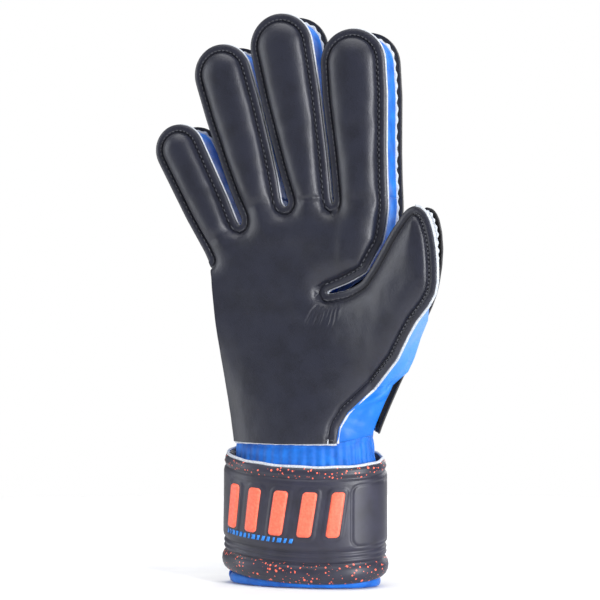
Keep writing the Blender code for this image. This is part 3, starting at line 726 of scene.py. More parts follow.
def apply_stack(obj):
    """Turn a live modifier stack into the mesh itself."""
    seen = bpy.context.evaluated_depsgraph_get()
    seen.update()
    mesh = bpy.data.meshes.new_from_object(obj.evaluated_get(seen))
    obj.modifiers.clear()
    obj.data = mesh
    return obj


def skin_pieces(way, label, made, fine=None):
    """Split one skin at its joints and give each part its thickness."""
    bm = cut_skin(way, fine)
    layer = bm.verts.layers.float["seam"]
    groups = {}
    for face in bm.faces:
        centre = face.calc_center_median()
        groups.setdefault(region(centre.x, centre.z), []).append(face)
    pieces = {}
    for key, faces in groups.items():
        order = {}
        for face in faces:
            for vert in face.verts:
                order.setdefault(vert, len(order))
        count = len(order)
        outer = list(order)
        coords = [place(v.co) for v in outer]
        coords += [place(v.co - Vector((0, way * SKIN_THICK, 0))) for v in outer]
        polygons = [[order[v] for v in f.verts] for f in faces]
        polygons += [[order[v] + count for v in reversed(f.verts)] for f in faces]
        mine = set(faces)
        for face in faces:
            for loop in face.loops:
                others = [f for f in loop.edge.link_faces if f in mine]
                if len(others) == 1:
                    a, b = order[loop.vert], order[loop.link_loop_next.vert]
                    polygons.append([b, a, a + count, b + count])
        mesh = bpy.data.meshes.new(f"{label}_{'_'.join(key)}".rstrip("_"))
        mesh.from_pydata(coords, [], polygons)
        seam = mesh.attributes.new("seam", "FLOAT", "POINT")
        seam.data.foreach_set("value", [v[layer] for v in outer] * 2)
        mesh.shade_smooth()
        normals = np.zeros((len(mesh.loops), 3), np.float32)
        starts = len(faces) * 3
        for i in range(starts):
            normals[i] = outer[mesh.loops[i].vertex_index].normal
        mesh.normals_split_custom_set(normals.tolist())
        pieces[key] = link(mesh.name, mesh, made)
    bm.free()
    return pieces


def grid_mesh(name, rows, made, closed=False, caps=False, uv=None):
    """A mesh over rows of points; closed joins the last column to the first."""
    count, wide = len(rows), len(rows[0])
    coords = [place(p) for row in rows for p in row]
    last = wide if closed else wide - 1
    polygons = []
    for i in range(count - 1):
        for j in range(last):
            k = (j + 1) % wide
            polygons.append((i * wide + j, i * wide + k, (i + 1) * wide + k, (i + 1) * wide + j))
    if caps:
        polygons.append(tuple(reversed(range(wide))))
        polygons.append(tuple(range((count - 1) * wide, count * wide)))
    mesh = bpy.data.meshes.new(name)
    mesh.from_pydata(coords, [], polygons)
    if uv:
        layer = mesh.uv_layers.new(name="flat")
        for loop in mesh.loops:
            i, j = divmod(loop.vertex_index, wide)
            layer.data[loop.index].uv = uv(i, j)
    mesh.shade_smooth()
    return link(name, mesh, made)


def joined(name, parts):
    """Several meshes as one piece."""
    bm = bmesh.new()
    for part in parts:
        bm.from_mesh(part.data)
    mesh = parts[0].data
    for part in parts[1:]:
        bpy.data.objects.remove(part)
    bm.to_mesh(mesh)
    bm.free()
    parts[0].name = mesh.name = name
    return parts[0]


def outward(obj):
    bm = bmesh.new()
    bm.from_mesh(obj.data)
    bmesh.ops.recalc_face_normals(bm, faces=bm.faces)
    bm.to_mesh(obj.data)
    bm.free()
    return obj


def thickened(obj, thick, offset=0.0, levels=1):
    """Give a sheet its thickness and one smoothing, applied."""
    solid = obj.modifiers.new("thickness", "SOLIDIFY")
    solid.thickness = thick * MM
    solid.offset = offset
    finer = obj.modifiers.new("smoothing", "SUBSURF")
    finer.levels = finer.render_levels = levels
    return outward(apply_stack(obj))


def finger_spans(name, level):
    """The stretches of the outline that belong to a finger's root or to its tip."""
    left = MARKS[name, "root", -1], MARKS[name, "split", -1]
    right = MARKS[name, "split", 1], MARKS[name, "root", 1]
    if level == "root":
        return [left, right]
    return [(left[1], right[0])]


def seam_inset(index):
    """How far the gusset stands in from the edge: little at a root, more along a finger."""
    x, z = SHARED[index]
    for finger in FINGERS.values():
        s, u = local(finger, x, z)
        if s > -4 and abs(u) < table(finger["widths"], max(0, s)) + 2:
            return 0.9 + 1.9 * float(smooth(s / 25))
    return 1.0


NORMALS = inward(SHARED)


def gusset_strip(name, start, end, pull=1.0):
    """A strip of stretch fabric from the front seam to the back seam, with slack wrinkles.

    Strips whose names differ in length wrinkle differently."""
    rows = []
    for i in range(start, end + 1):
        (x, z), (nx, nz) = SHARED[i], NORMALS[i]
        inset = seam_inset(i) * pull
        front = float(rim_depth(x, z, -1)) + SKIN_THICK - 0.4
        back = float(rim_depth(x, z, 1)) - SKIN_THICK + 0.4
        row = []
        for t in np.linspace(0, 1, GUSSET_COLUMNS):
            y = front + (back - front) * t
            slack = 4 * t * (1 - t)
            drawn = inset + max(0.0, BACK_SEAM - inset) * t
            wave = noise.noise(Vector((i / 5.5, t * 2.2, len(name)))) * 0.9
            wave += noise.noise(Vector((i / 2.4, t * 1.3, 4.0))) * 0.45
            reach = drawn + slack * (0.9 + wave)
            row.append((x + nx * reach, y, z + nz * reach))
        rows.append(row)
    return grid_mesh(name, rows[::2] + ([rows[-1]] if (len(rows) - 1) % 2 else []), GUSSET)


def tape(name, start, end, way, inner, outer, near, far, wavy=0.0, line=None, normals=None):
    """A flat tape along the seam: inner and outer are insets, near and far depths below the rim."""
    line = SHARED if line is None else line
    normals = NORMALS if normals is None else normals
    rows = []
    for i in range(start, end + 1):
        (x, z), (nx, nz) = line[i], normals[i]
        depth = float(rim_depth(x, z, way))
        edge = outer - wavy * (0.5 + 0.5 * math.sin(i * 1.15) + 0.3 * math.sin(i * 0.37))
        section = ((inner, near), (inner, far), ((inner + edge) / 2, far + 0.05),
                   (edge + 0.15, far), (edge, (near + far) / 2), (edge + 0.15, near))
        rows.append([(x + nx * a, depth - way * b, z + nz * a) for a, b in section])
    return outward(grid_mesh(name, rows, PIPING, closed=True, caps=True))


def edge_tapes(spans, lip, depth):
    """The tapes along both seams of some stretches; lip is where the front ones' outer edge lies."""
    tapes = [tape(f"front_tape_{i}", a, b, -1, 2.6, lip, 2.15, depth)
             for i, (a, b) in enumerate(spans)]
    return tapes + [tape(f"back_tape_{i}", a, b, 1, 3.6, 2.1, 2.15, 3.0, wavy=0.7)
                    for i, (a, b) in enumerate(spans)]


def stitches(name, start, end, inset=3.0, line=None, normals=None):
    """Short lockstitches lying on the front's seam allowance."""
    line = SHARED if line is None else line
    normals = NORMALS if normals is None else normals
    coords, polygons = [], []
    at = start + 1.0
    while at < end - STITCH_LONG:
        base = len(coords)
        for k, t in enumerate((0.0, 0.25, 0.75, 1.0)):
            where = at + t * STITCH_LONG
            i = min(int(where), len(line) - 2)
            part = where - i
            x, z = line[i] * (1 - part) + line[i + 1] * part
            nx, nz = normals[i] * (1 - part) + normals[i + 1] * part
            rise = (0.0, 0.42, 0.42, 0.0)[k] - 0.05
            depth = float(rim_depth(x, z, -1)) - (0.1 + rise)
            half = (0.16, 0.3, 0.3, 0.16)[k]
            for side, up in ((-1, -0.3), (-0.6, 0.0), (0.6, 0.0), (1, -0.3)):
                reach = inset + side * half
                coords.append(place((x + nx * reach, depth - up, z + nz * reach)))
        for k in range(3):
            for j in range(4):
                a, b = base + k * 4 + j, base + k * 4 + (j + 1) % 4
                polygons.append((a, b, b + 4, a + 4))
        polygons.append(tuple(base + j for j in (3, 2, 1, 0)))
        polygons.append(tuple(base + 12 + j for j in range(4)))
        at += STITCH_PITCH
    mesh = bpy.data.meshes.new(name)
    mesh.from_pydata(coords, [], polygons)
    mesh.shade_smooth()
    return outward(link(name, mesh, THREAD))


def stitched(name, spans):
    """The stitches of several stretches of the outline, as one piece."""
    return joined(name, [stitches(f"run_{i}", a, b) for i, (a, b) in enumerate(spans)])


# ---------------------------------------------------------------- how pieces move

def metres(x, y, z):
    return tuple(place((x, y, z)))


def across_root(piece, name):
    """Bends between the hand and the finger's lower part."""
    finger = FINGERS[name]
    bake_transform(piece, "hand", f"{name}_lower", start=metres(0, 0, finger["root"]),
             end=metres(0, 0, finger["split"] - 0.5))


def across_middle(piece, name):
    """Bends at the finger's middle joint, whose axis leans."""
    finger = FINGERS[name]
    x, _ = finger_point(finger, finger["joint"], 0)
    low, high = finger["bend"]
    tilt = math.tan(math.radians(finger["lean"] * AXIS_LEAN)) * (high - low) / 2
    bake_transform(piece, f"{name}_lower", f"{name}_tip", start=metres(x + tilt, 0, low),
             end=metres(x - tilt, 0, high))


def across_thumb(piece):
    """Bends along the crease from the slit's end to the wrist."""
    (dx, dz), start, length = THUMB_BEND
    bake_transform(piece, "hand", "thumb", start=metres(dx * start, 0, dz * start),
             end=metres(dx * (start + length), 0, dz * (start + length)))


def peeling(piece):
    """Bends where the strap's tail peels off the back of the wrist."""
    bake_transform(piece, "cuff", "strap_tail", start=metres(*ring_point(PEEL_FROM, 3, 30)),
             end=metres(*ring_point(PEEL_TO, 3, 30)))


def worn(piece, body, slot, *nodes):
    """A piece that moves with one body and stands for some CAD nodes."""
    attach(piece, body)
    if nodes:
        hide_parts(*nodes)


def move_skin(key, piece):
    name, level = key
    if name == "hand":
        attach(piece, "hand")
    elif name == "thumb":
        across_thumb(piece)
    elif level == "root":
        across_root(piece, name)
    else:
        across_middle(piece, name)


# ---------------------------------------------------------------- front and back skins

def build_skins():
    front = skin_pieces(-1, "front_skin", LATEX, FINE_PATCH)
    back = skin_pieces(1, "back_skin", BACK_PRINT)
    for skins, slot, side in ((front, "latex", "front"), (back, "foam_black", "back")):
        for key, piece in skins.items():
            name, level = key
            move_skin(key, piece)
            if name == "hand":
                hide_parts("palm_panel" if side == "front" else "backhand_panel")
            elif name == "thumb":
                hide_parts(f"thumb_{side}")
            else:
                part = "lower" if level == "root" else "tip"
                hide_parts(f"{name}_{part}_{side}")


def build_finger_seams():
    """Each finger's gusset, edging and stitches, for its root and for its tip."""
    for name in FINGERS:
        for level in ("root", "tip"):
            spans = finger_spans(name, level)
            move = across_root if level == "root" else across_middle
            lap = 1 if level == "tip" else 0
            strips = [gusset_strip(f"{name}_{level}_strip_{i}", a - lap, b + lap)
                      for i, (a, b) in enumerate(spans)]
            gusset = thickened(joined(f"{name}_{level}_gusset_strip", strips), GUSSET_THICK)
            edging = joined(f"{name}_{level}_edging", edge_tapes(spans, -0.35, 3.3))
            thread = stitched(f"{name}_{level}_stitching", spans)
            for piece, slot in ((gusset, "gusset_blue"), (edging, "mesh_white"),
                                (thread, "mesh_white")):
                move(piece, name)
            if level == "root":
                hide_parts(f"{name}_lower_gusset_thumb_side",
                            f"{name}_lower_gusset_outer_side")
            else:
                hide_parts(f"{name}_tip_gusset")


def build_hand_seams():
    """Webs, the little-finger side and the slit, which stay with the hand."""
    names = list(FINGERS)
    side = thickened(gusset_strip("side_strip", 2, MARKS["little", "root", -1], pull=1.2),
                     GUSSET_THICK)
    side.name = "little_side_gusset"
    worn(side, "hand", "gusset_blue", "side_gusset_outer")
    spans = [(MARKS[a, "root", 1], MARKS[b, "root", -1]) for a, b in zip(names, names[1:])]
    spans.append((MARKS["index", "root", 1], MARKS["slit"]))
    webs = thickened(joined("web_gussets", [gusset_strip(f"web_{i}", a, b)
                                            for i, (a, b) in enumerate(spans)]), GUSSET_THICK)
    worn(webs, "hand", "gusset_blue", "slit_gusset")
    spans.append((MARKS["first"], MARKS["little", "root", -1]))
    edging = joined("hand_edging", edge_tapes(spans, -0.3, 3.2))
    thread = stitched("hand_stitching", spans)
    for piece in (edging, thread) + heel_seam():
        worn(piece, "hand", "mesh_white")


def heel_seam():
    """The bound lower edge of the palm, with its row of stitches."""
    (x0, z0), (x1, z1) = LEFT_SIDE[0], THUMB_FRONT[-1]
    share = np.linspace(0.0, 1.0, 54)
    line = np.stack([x0 + (x1 - x0) * share, z0 + (z1 - z0) * share], axis=1)
    up = np.tile((0.0, 1.0), (len(share), 1))
    last = len(share) - 1
    binding = tape("heel_binding", 0, last, -1, 2.0, -0.9, 0.5, 2.6, wavy=0.15,
                   line=line, normals=up)
    return binding, stitches("heel_stitching", 0, last, inset=1.6, line=line, normals=up)


# inset of the side panel's back edge at each height; it laps over the backhand's rim in between
PANEL_LAP = (98.0, 106.0, 130.0, 139.0), (BACK_SEAM, -1.2, -1.0, BACK_SEAM)


def thumb_side_rows(columns):
    """Rows of the strip on the thumb's outer side, from the tip to the wrist."""
    front, back = OUTER[-1], OUTER[1]
    n_front, n_back = inward(front), inward(back)
    rows = []
    for i in range(len(front)):
        (xf, zf), (xb, zb) = front[i], back[i]
        a = front[i] + n_front[i] * 1.2
        b = back[i] + n_back[i] * float(np.interp(zb, *PANEL_LAP))
        yf = float(rim_depth(xf, zf, -1)) + SKIN_THICK - 0.3
        yb = float(rim_depth(xb, zb, 1)) - SKIN_THICK + 0.3
        wide = abs(xb - xf)
        row = []
        for t in np.linspace(0, 1, columns):
            x = a[0] + (b[0] - a[0]) * t
            z = a[1] + (b[1] - a[1]) * t
            slack = 4 * t * (1 - t)
            low = float(1 - smooth((z - 95) / 35))
            wave = noise.noise(Vector((z / 9.0, t * 2.4, 2.0))) * (0.7 + 1.5 * low)
            wave += noise.noise(Vector((z / 4.2, t * 3.0 + z / 20, 6.0))) * (0.35 + 0.8 * low)
            fold = 2.2 * math.exp(-((z - 88 - 9 * t) / 2.6) ** 2) * low
            fold += 1.6 * math.exp(-((z - 103 + 10 * t) / 2.2) ** 2) * low
            bow = 1.0 + 0.05 * wide
            reach = slack * (bow * 0.4 + wave) + fold * slack
            row.append((x + reach * 0.75, yf + (yb - yf) * t - reach * 0.5, z))
        rows.append(row)
    return rows


def build_thumb_seams():
    """The thumb's slit gusset, its side of mesh and stretch fabric, its edging and stitches."""
    slit = thickened(gusset_strip("thumb_slit_gusset", MARKS["slit"], MARKS["end"]), GUSSET_THICK)
    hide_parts("thumb_gusset_slit_side")
    rows = thumb_side_rows(15)
    cut = next(i for i, row in enumerate(rows) if row[0][2] < MESH_LOW)
    mesh = thickened(grid_mesh("thumb_mesh_gusset", rows[:cut + 1], MESH_WHITE), 1.2)
    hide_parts("thumb_gusset_outer_side")
    panel = thickened(grid_mesh("thumb_stretch_panel", rows[cut:], PANEL), 0.9)
    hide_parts("thumb_side_panel")
    count = len(OUTER[-1]) - 1
    front = {"line": OUTER[-1], "normals": inward(OUTER[-1])}
    back = {"line": OUTER[1], "normals": inward(OUTER[1])}
    tapes = edge_tapes([(MARKS["slit"], MARKS["end"])], -0.3, 3.2)
    tapes += [tape("thumb_front_tape", 0, count, -1, 3.0, -0.9, 2.15, 3.2, **front),
              tape("thumb_back_tape", 0, cut, 1, 3.6, 1.9, 2.15, 3.0, wavy=0.7, **back)]
    edging = joined("thumb_edging", tapes)
    thread = joined("thumb_stitching", [stitches("slit_run", MARKS["slit"], MARKS["end"]),
                                        stitches("thumb_run", 0, count, **front)])
    for piece, slot in ((slit, "gusset_blue"), (mesh, "mesh_white"), (panel, "gusset_blue"),
                        (edging, "mesh_white"), (thread, "mesh_white")):
        across_thumb(piece)


# ---------------------------------------------------------------- cuff and strap

def ring_point(degrees, offset, z):
    """A point round the wrist; 0 degrees is the front, 90 the thumb side."""
    angle = math.radians(degrees)
    return (WRIST_X + (SLEEVE_A + offset) * math.sin(angle),
            -(SLEEVE_B + offset) * math.cos(angle), z)


def strap_rise(degrees):
    """How much higher the strap lies than at the front."""
    angle = math.radians(degrees)
    return STRAP_TILT * (1 - math.cos(angle)) - STRAP_ROLL * math.sin(angle)


ARC_STEPS = np.arange(-180.0, 200.0, 0.5)
ARC = np.concatenate([[0], np.cumsum([math.dist(ring_point(a, STRAP_OUT, 0),
                                                ring_point(b, STRAP_OUT, 0))
                                      for a, b in zip(ARC_STEPS, ARC_STEPS[1:])])])


def arc_of(degrees):
    """Length along the strap, in millimetres."""
    return np.interp(degrees, ARC_STEPS, ARC)


# height above the strap's lower edge and how far its face stands out there: a fat roll,
# two thin ridges, the raised middle band and a border with one ridge
STRAP_PROFILE = (
    (0.0, -2.0), (0.4, -0.9), (1.5, 0.35), (3.2, 1.15), (5.0, 1.4), (6.8, 1.15), (8.4, 0.3),
    (9.4, -0.8), (10.0, -0.5), (10.7, 0.25), (11.3, 0.42), (11.9, 0.2), (12.5, -0.35),
    (13.1, 0.2), (13.7, 0.42), (14.3, 0.2), (15.0, -0.6), (15.7, -0.1), (16.6, 0.55),
    (18.0, 0.8), (47.0, 0.8), (48.4, 0.5), (49.2, -0.1), (49.8, -0.5), (50.4, 0.0),
    (51.2, 0.15), (51.8, 0.45), (52.4, 0.1), (53.2, 0.05), (54.0, -0.2), (54.6, -0.8),
    (55.0, -1.6))


def bar_distance(degrees, height):
    """Distance in mm to the nearest slanted bar, less than 0 inside it."""
    centre_height = STRAP_LOW + height
    best = np.full(np.broadcast(degrees, height).shape, 99.0)
    half_tall = (BAR_HIGH - BAR_LOW) / 2
    middle = (BAR_HIGH + BAR_LOW) / 2
    for centre in BAR_CENTRES:
        lean = (centre_height - BAR_LOW) / (BAR_HIGH - BAR_LOW) * BAR_SLANT
        scale = (arc_of(centre + 2) - arc_of(centre - 2)) / 4
        dx = np.abs(degrees - centre - lean + 0.5) * scale - (BAR_WIDE / 2) * scale + 1.2
        dz = np.abs(centre_height - middle) - half_tall + 1.2
        outside = np.hypot(np.maximum(dx, 0), np.maximum(dz, 0))
        best = np.minimum(best, outside + np.minimum(np.maximum(dx, dz), 0) - 1.2)
    return best


def panel_distance(degrees, height):
    """Distance in mm to the outline of the rounded panel on the strap's thumb side."""
    across = np.abs(arc_of(degrees) - arc_of(PANEL_MIDDLE[0])) - 9.0
    up = np.abs(height - PANEL_MIDDLE[1]) - 10.5
    outside = np.hypot(np.maximum(across, 0), np.maximum(up, 0))
    return np.abs(outside + np.minimum(np.maximum(across, up), 0) - 4.0)


def strap_surface(degrees, height):
    """How far the strap's face stands out from the sleeve."""
    out = STRAP_OUT + table(STRAP_PROFILE, height)
    halo = bar_distance(degrees, height)
    out = out + 0.45 * smooth((1.7 - halo) / 0.7)
    out = out - 0.5 * valley(panel_distance(degrees, height), 0.55)
    wave = noise.noise(Vector((degrees / 24.0, height / 30.0, 1.0)))
    return out + 0.35 * wave + 0.10 * math.sin(math.radians(degrees) * 9) * (height < 10)


STRAP_INNER = (54.6, 40.0, 28.0, 14.0, 0.4)       # heights of the points on the strap's inner face


def strap_piece(name, start, end, step):
    """A length of the moulded strap, closed all round, with its own flat coordinates."""
    heights = sorted({h for h, _ in STRAP_PROFILE} | set(np.arange(17.0, 48.5, 0.55).round(2)))
    angles = np.linspace(start, end, int((end - start) / step) + 1)
    rows = [[ring_point(a, float(strap_surface(a, h)), STRAP_LOW + h + strap_rise(a))
             for a in angles] for h in heights]
    rows += [[ring_point(a, 2.6, STRAP_LOW + h + strap_rise(a)) for a in angles]
             for h in STRAP_INNER]
    loops = [[row[j] for row in rows] for j in range(len(angles))]
    tall = heights + list(STRAP_INNER)
    piece = grid_mesh(name, loops, STRAP, closed=True, caps=True,
                      uv=lambda i, j: (float(arc_of(angles[i])), tall[j]))
    return outward(piece)


def close_ring(piece):
    """Merge a ring's last row with its first."""
    bm = bmesh.new()
    bm.from_mesh(piece.data)
    bmesh.ops.remove_doubles(bm, verts=bm.verts, dist=1e-6)
    bm.to_mesh(piece.data)
    bm.free()
    piece.data.shade_smooth()


def ring_tube(name, made, radius, angles, path, closed=False, sides=10, flat=1.0):
    """A tube round the wrist; path gives (offset, height) at an angle."""
    rows = []
    for a in angles:
        offset, z = path(a)
        row = []
        for k in range(sides):
            turn = 2 * math.pi * k / sides
            row.append(ring_point(a, offset + radius * math.cos(turn) * flat,
                                  z + radius * math.sin(turn)))
        rows.append(row)
    if closed:
        rows.append(rows[0])
    piece = grid_mesh(name, rows, made, closed=True, caps=not closed)
    if closed:
        close_ring(piece)
    return outward(piece)


def ring_sheet(name, made, angles, heights, path, thick, levels=1, closed=False):
    """A sheet round the wrist; path gives (offset, height) at an angle and a level."""
    rows = [[ring_point(a, *path(a, h)) for h in heights] for a in angles]
    if closed:
        rows.append(rows[0])
    piece = grid_mesh(name, rows, made)
    if closed:
        close_ring(piece)
    return thickened(piece, thick, 0.0, levels)


def bar_piece(number, centre):
    """One raised rubber bar, with rounded corners and a soft top edge."""
    count_up, count_across = 23, 9
    scale = float((arc_of(centre + 2) - arc_of(centre - 2)) / 4)
    rows = []
    for i in range(count_up):
        up = BAR_LOW + (BAR_HIGH - BAR_LOW) * i / (count_up - 1)
        slant = (up - BAR_LOW) / (BAR_HIGH - BAR_LOW) * BAR_SLANT
        end = min(up - BAR_LOW, BAR_HIGH - up)
        pull = 1.6 - math.sqrt(max(0.0, 1.6 ** 2 - max(0.0, 1.6 - end) ** 2))
        half = BAR_WIDE / 2 - pull / scale
        row = []
        for j in range(count_across):
            share = -1 + 2 * j / (count_across - 1)
            angle = centre + slant + half * share - 0.5
            near = min((1 - abs(share)) * half * scale, end)
            top = 0.95 * math.sqrt(max(0.0, 1 - max(0.0, 1 - near / 0.9) ** 2))
            height = up - STRAP_LOW
            base = float(strap_surface(angle, height))
            row.append(ring_point(angle, base + 0.05 + top, up + strap_rise(angle)))
        rows.append(row)
    piece = grid_mesh(f"strap_mark_{number}", rows, CORAL)
    return thickened(piece, 1.0, -1.0)


def build_strap():
    """The strap and its tail, with raised bars, white piping and ticks."""
    main = strap_piece("wrist_strap_face", STRAP_FROM, STRAP_SPLIT, 1.0)
    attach(main, "cuff")
    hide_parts("wrist_strap")
    tail = strap_piece("strap_tail_face", STRAP_SPLIT, TAIL_TO, 1.5)
    peeling(tail)
    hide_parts("strap_tail")
    for number, centre in enumerate(BAR_CENTRES, 1):
        worn(bar_piece(number, centre), "cuff", "rubber_coral", f"strap_bar_{number}")
    build_piping()
    build_ticks()


def build_piping():
    """White piping along the upper edge of the strap and of its tail."""
    top = STRAP_HIGH - STRAP_LOW

    def path(a):
        return (STRAP_OUT - 1.5 + 0.12 * math.sin(a / 3.1),
                STRAP_LOW + top + 0.2 + strap_rise(a) + 0.15 * math.sin(a / 4.7))

    for name, start, end in (("strap_piping", STRAP_FROM, STRAP_SPLIT),
                             ("tail_piping", STRAP_SPLIT, TAIL_TO)):
        angles = np.linspace(start, end, int(end - start) // 2)
        piece = ring_tube(name, PIPING, 0.75, angles, path)
        if name == "strap_piping":
            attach(piece, "cuff")
        else:
            peeling(piece)


def build_ticks():
    """A row of plain printed ticks below the bars."""
    ticks = []
    for i in range(TICKS):
        centre = TICK_FROM + i * TICK_PITCH
        wide = (1.2, 0.7, 1.5, 0.9, 1.2)[i % 5]
        rows = [[ring_point(a + (height - TICK_LOW) * 0.5,
                            float(strap_surface(a, height)) + 0.12,
                            STRAP_LOW + height + strap_rise(a))
                 for a in (centre - wide, centre, centre + wide)]
                for height in (TICK_LOW, 20.3, 21.4)]
        ticks.append(grid_mesh(f"tick_{i}", rows, TICK_BLUE))
    worn(thickened(joined("strap_ticks", ticks), 0.3, levels=0), "cuff", "gusset_blue")


def build_cuff():
    """The elastic sleeve, its rolled hem, the pull tab and the shirred band under the palm."""
    def hem_path(a):
        slack = 0.5 * math.sin(math.radians(a) * 3 + 1) + 0.25 * math.sin(math.radians(a) * 7)
        return 1.1 + 0.3 * slack, HEM_Z + 2.6 + 0.1 * slack

    def tab_path(a, h):
        t = (a + 122) / 36
        roll = 1.1 * math.sin(math.pi * min(1, max(0, t)))
        return 2.9 + roll * 0.6 + 0.5 * math.sin(h * 1.3 + a / 6), h - 1.2 * t

    def gathers(a, h):
        lift = float(smooth((h - 57) / 14))
        pleat = 0.55 * math.sin(math.radians(a) * 46) * (1 - 0.6 * lift)
        back = 0.5 - 0.5 * math.cos(math.radians(a))
        stitched_in = 0.5 * math.exp(-((h - 63.5) / 0.8) ** 2)
        stitched_in += 0.5 * math.exp(-((h - 69.0) / 0.8) ** 2)
        return -0.2 - 1.3 * lift + pleat - stitched_in, h + 8.0 * back * lift

    sleeve = ring_sheet("cuff_sleeve_fabric", ELASTIC, np.arange(0, 360, 3.0),
                        np.linspace(HEM_Z + 1.5, 57.5, 14),
                        lambda a, h: (-0.7 + 0.2 * math.sin(math.radians(a) * 40), h), 1.2,
                        closed=True)
    worn(sleeve, "cuff", "elastic_blue", "cuff_sleeve")
    hem = ring_tube("cuff_hem", ELASTIC, 2.3, np.arange(0, 360, 3.0), hem_path, closed=True,
                    sides=12, flat=0.62)
    worn(hem, "cuff", "elastic_blue", "cuff_binding")
    tab = ring_sheet("pull_tab_fold", GUSSET, np.linspace(-122, -86, 10),
                     np.linspace(HEM_Z + 1.4, 10.2, 7), tab_path, 1.4)
    worn(tab, "cuff", "gusset_blue", "pull_tab")
    elastic = ring_sheet("wrist_elastic_band", ELASTIC, np.arange(0, 360, 2.0),
                         np.linspace(56.0, 75.0, 20), gathers, 1.0, closed=True)
    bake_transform(elastic, "cuff", "hand", start=metres(0, 0, 60), end=metres(0, 0, 72))
    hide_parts("wrist_elastic")


def build_closure():
    """The strap's backing, the loop tape on it and the hook tape inside its tail."""
    lining = ring_sheet("strap_backing", PILE, np.linspace(STRAP_FROM, STRAP_TO - 1, 90),
                        np.linspace(STRAP_LOW + 0.8, STRAP_HIGH - 1.2, 8),
                        lambda a, h: (1.4, h + strap_rise(a)), 1.6, levels=0)
    worn(lining, "cuff", "loop_grey", "strap_lining")
    loops = ring_sheet("loop_tape", PILE, np.linspace(STRAP_TO + 6, TAIL_TO - 4, 30),
                       np.linspace(STRAP_LOW + 6, STRAP_HIGH - 6, 6),
                       lambda a, h: (0.8, h + strap_rise(a)), 0.7, levels=0)
    worn(loops, "cuff", "loop_grey", "loop_patch")
    hooks = ring_sheet("hook_tape", PILE, np.linspace(STRAP_TO + 12, TAIL_TO - 6, 28),
                       np.linspace(STRAP_LOW + 8, STRAP_HIGH - 8, 6),
                       lambda a, h: (1.9, h + strap_rise(a)), 0.6, levels=0)
    worn(hooks, "strap_tail", "loop_grey", "hook_patch")


def build_lining():
    """A brushed bag inside the hand, seen only through the cuff."""
    for way, node in ((-1, "palm_lining"), (1, "backhand_lining")):
        rows = []
        for z in np.linspace(74, 172, 22):
            left = float(np.interp(z, [p[1] for p in LEFT_SIDE], [p[0] for p in LEFT_SIDE])) + 4
            right = float(np.interp(z, (71, 142, 150, 166, 181), (22, 15, 33, 42, 44)))
            row = []
            for x in np.linspace(left, right, 16):
                depth = float(rim_depth(x, z, way)) - way * (SKIN_THICK + 1.2)
                row.append((x, depth + 0.4 * noise.noise(Vector((x / 8, z / 8, way))), z))
            rows.append(row)
        piece = thickened(grid_mesh(f"{node}_fabric", rows, LINING), 0.7)
        worn(piece, "hand", "lining_grey", node)


# ---------------------------------------------------------------- stage, light and camera

FLOOR_RADIUS = 0.6                # metres, as are the other lengths here
LIT_MIDDLE = (0.0, 0.0, 0.14)
AMBIENT, BACKDROP = 0.24, 1.0     # the world's strength as light and as seen
# name, place, size, watts and tint of each area light
LIGHTS = (("key", (1.0, -0.7, 0.35), (0.35, 0.8), 19.0, (0.96, 0.97, 1.0)),
          ("side", (-0.95, -0.3, 0.3), (0.3, 0.8), 4.0, (0.92, 0.95, 1.0)),
          ("top", (0.0, -0.15, 1.2), (1.2, 1.2), 12.0, (1, 1, 1)),
          ("back", (0.2, 1.0, 0.5), (0.9, 0.7), 6.0, (1, 1, 1)))
CAMERA_AWAY, CAMERA_SEES = 1.3, 0.288     # distance, and the width in view at the glove
CAMERA_TURN, CAMERA_HEIGHT = 22.0, 139.2  # degrees towards the thumb's side; millimetres
SENSOR = 36.0


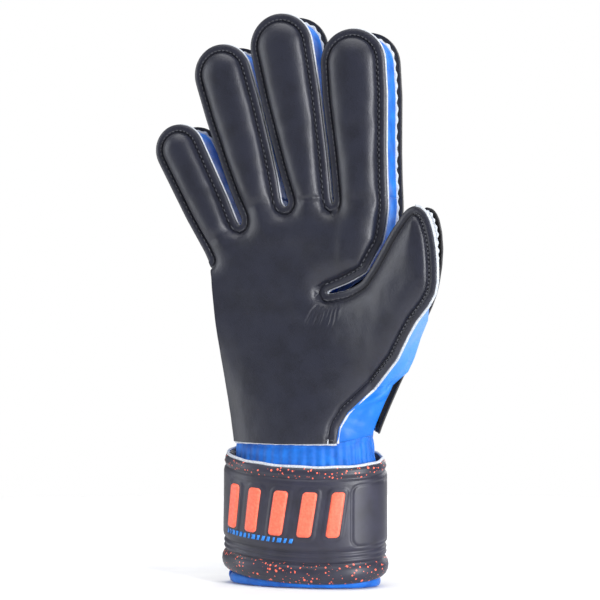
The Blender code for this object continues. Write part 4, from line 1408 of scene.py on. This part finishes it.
def area_light(name, where, size, power, tint):
    data = bpy.data.lights.new(name, "AREA")
    data.shape = "RECTANGLE"
    data.size, data.size_y = size
    data.energy = power
    data.color = tint
    obj = bpy.data.objects.new(name, data)
    bpy.context.collection.objects.link(obj)
    obj.location = where
    aim = Vector(LIT_MIDDLE) - Vector(where)
    obj.rotation_euler = aim.to_track_quat("-Z", "Y").to_euler()


def build_studio():
    """White surroundings that light the glove only faintly, a white floor and four lights."""
    world = bpy.data.worlds.new("studio")
    bpy.context.scene.world = world
    world.use_nodes = True
    tree = world.node_tree
    back = tree.nodes["Background"]
    back.inputs["Color"].default_value = (1, 1, 1, 1)
    bpy.context.scene.view_settings.view_transform = "Standard"
    path = add(tree, "ShaderNodeLightPath")
    strength = add(tree, "ShaderNodeMapRange", [("To Min", AMBIENT), ("To Max", BACKDROP)],
                   [("Value", path.outputs["Is Camera Ray"])])
    tree.links.new(strength.outputs[0], back.inputs["Strength"])
    edge = [(FLOOR_RADIUS * math.cos(math.radians(a)), FLOOR_RADIUS * math.sin(math.radians(a)),
             0.0) for a in range(0, 360, 5)]
    floor = bpy.data.meshes.new("floor")
    floor.from_pydata(edge, [], [tuple(range(len(edge)))])
    link("studio_floor", floor, plain("studio_paper", "#f4f4f5", "#ffffff", 0.9, 40.0,
                                               0.0))
    for light in LIGHTS:
        area_light(*light)


def build_camera():
    """A long lens level with the middle of the glove, a little towards the thumb's side."""
    data = bpy.data.cameras.new("camera")
    data.sensor_width = SENSOR
    data.lens = SENSOR * CAMERA_AWAY / CAMERA_SEES
    camera = bpy.data.objects.new("camera", data)
    bpy.context.collection.objects.link(camera)
    target = Vector((-CENTRE_X * MM, -CENTRE_Y * MM, (CAMERA_HEIGHT - HEM_Z) * MM))
    turn = math.radians(CAMERA_TURN)
    camera.location = target + CAMERA_AWAY * Vector((math.sin(turn), -math.cos(turn), 0.0))
    camera.rotation_euler = (math.pi / 2, 0.0, turn)
    bpy.context.scene.camera = camera


build_camera()
build_studio()
build_skins()
build_finger_seams()
build_hand_seams()
build_thumb_seams()
build_strap()
build_cuff()
build_closure()
build_lining()
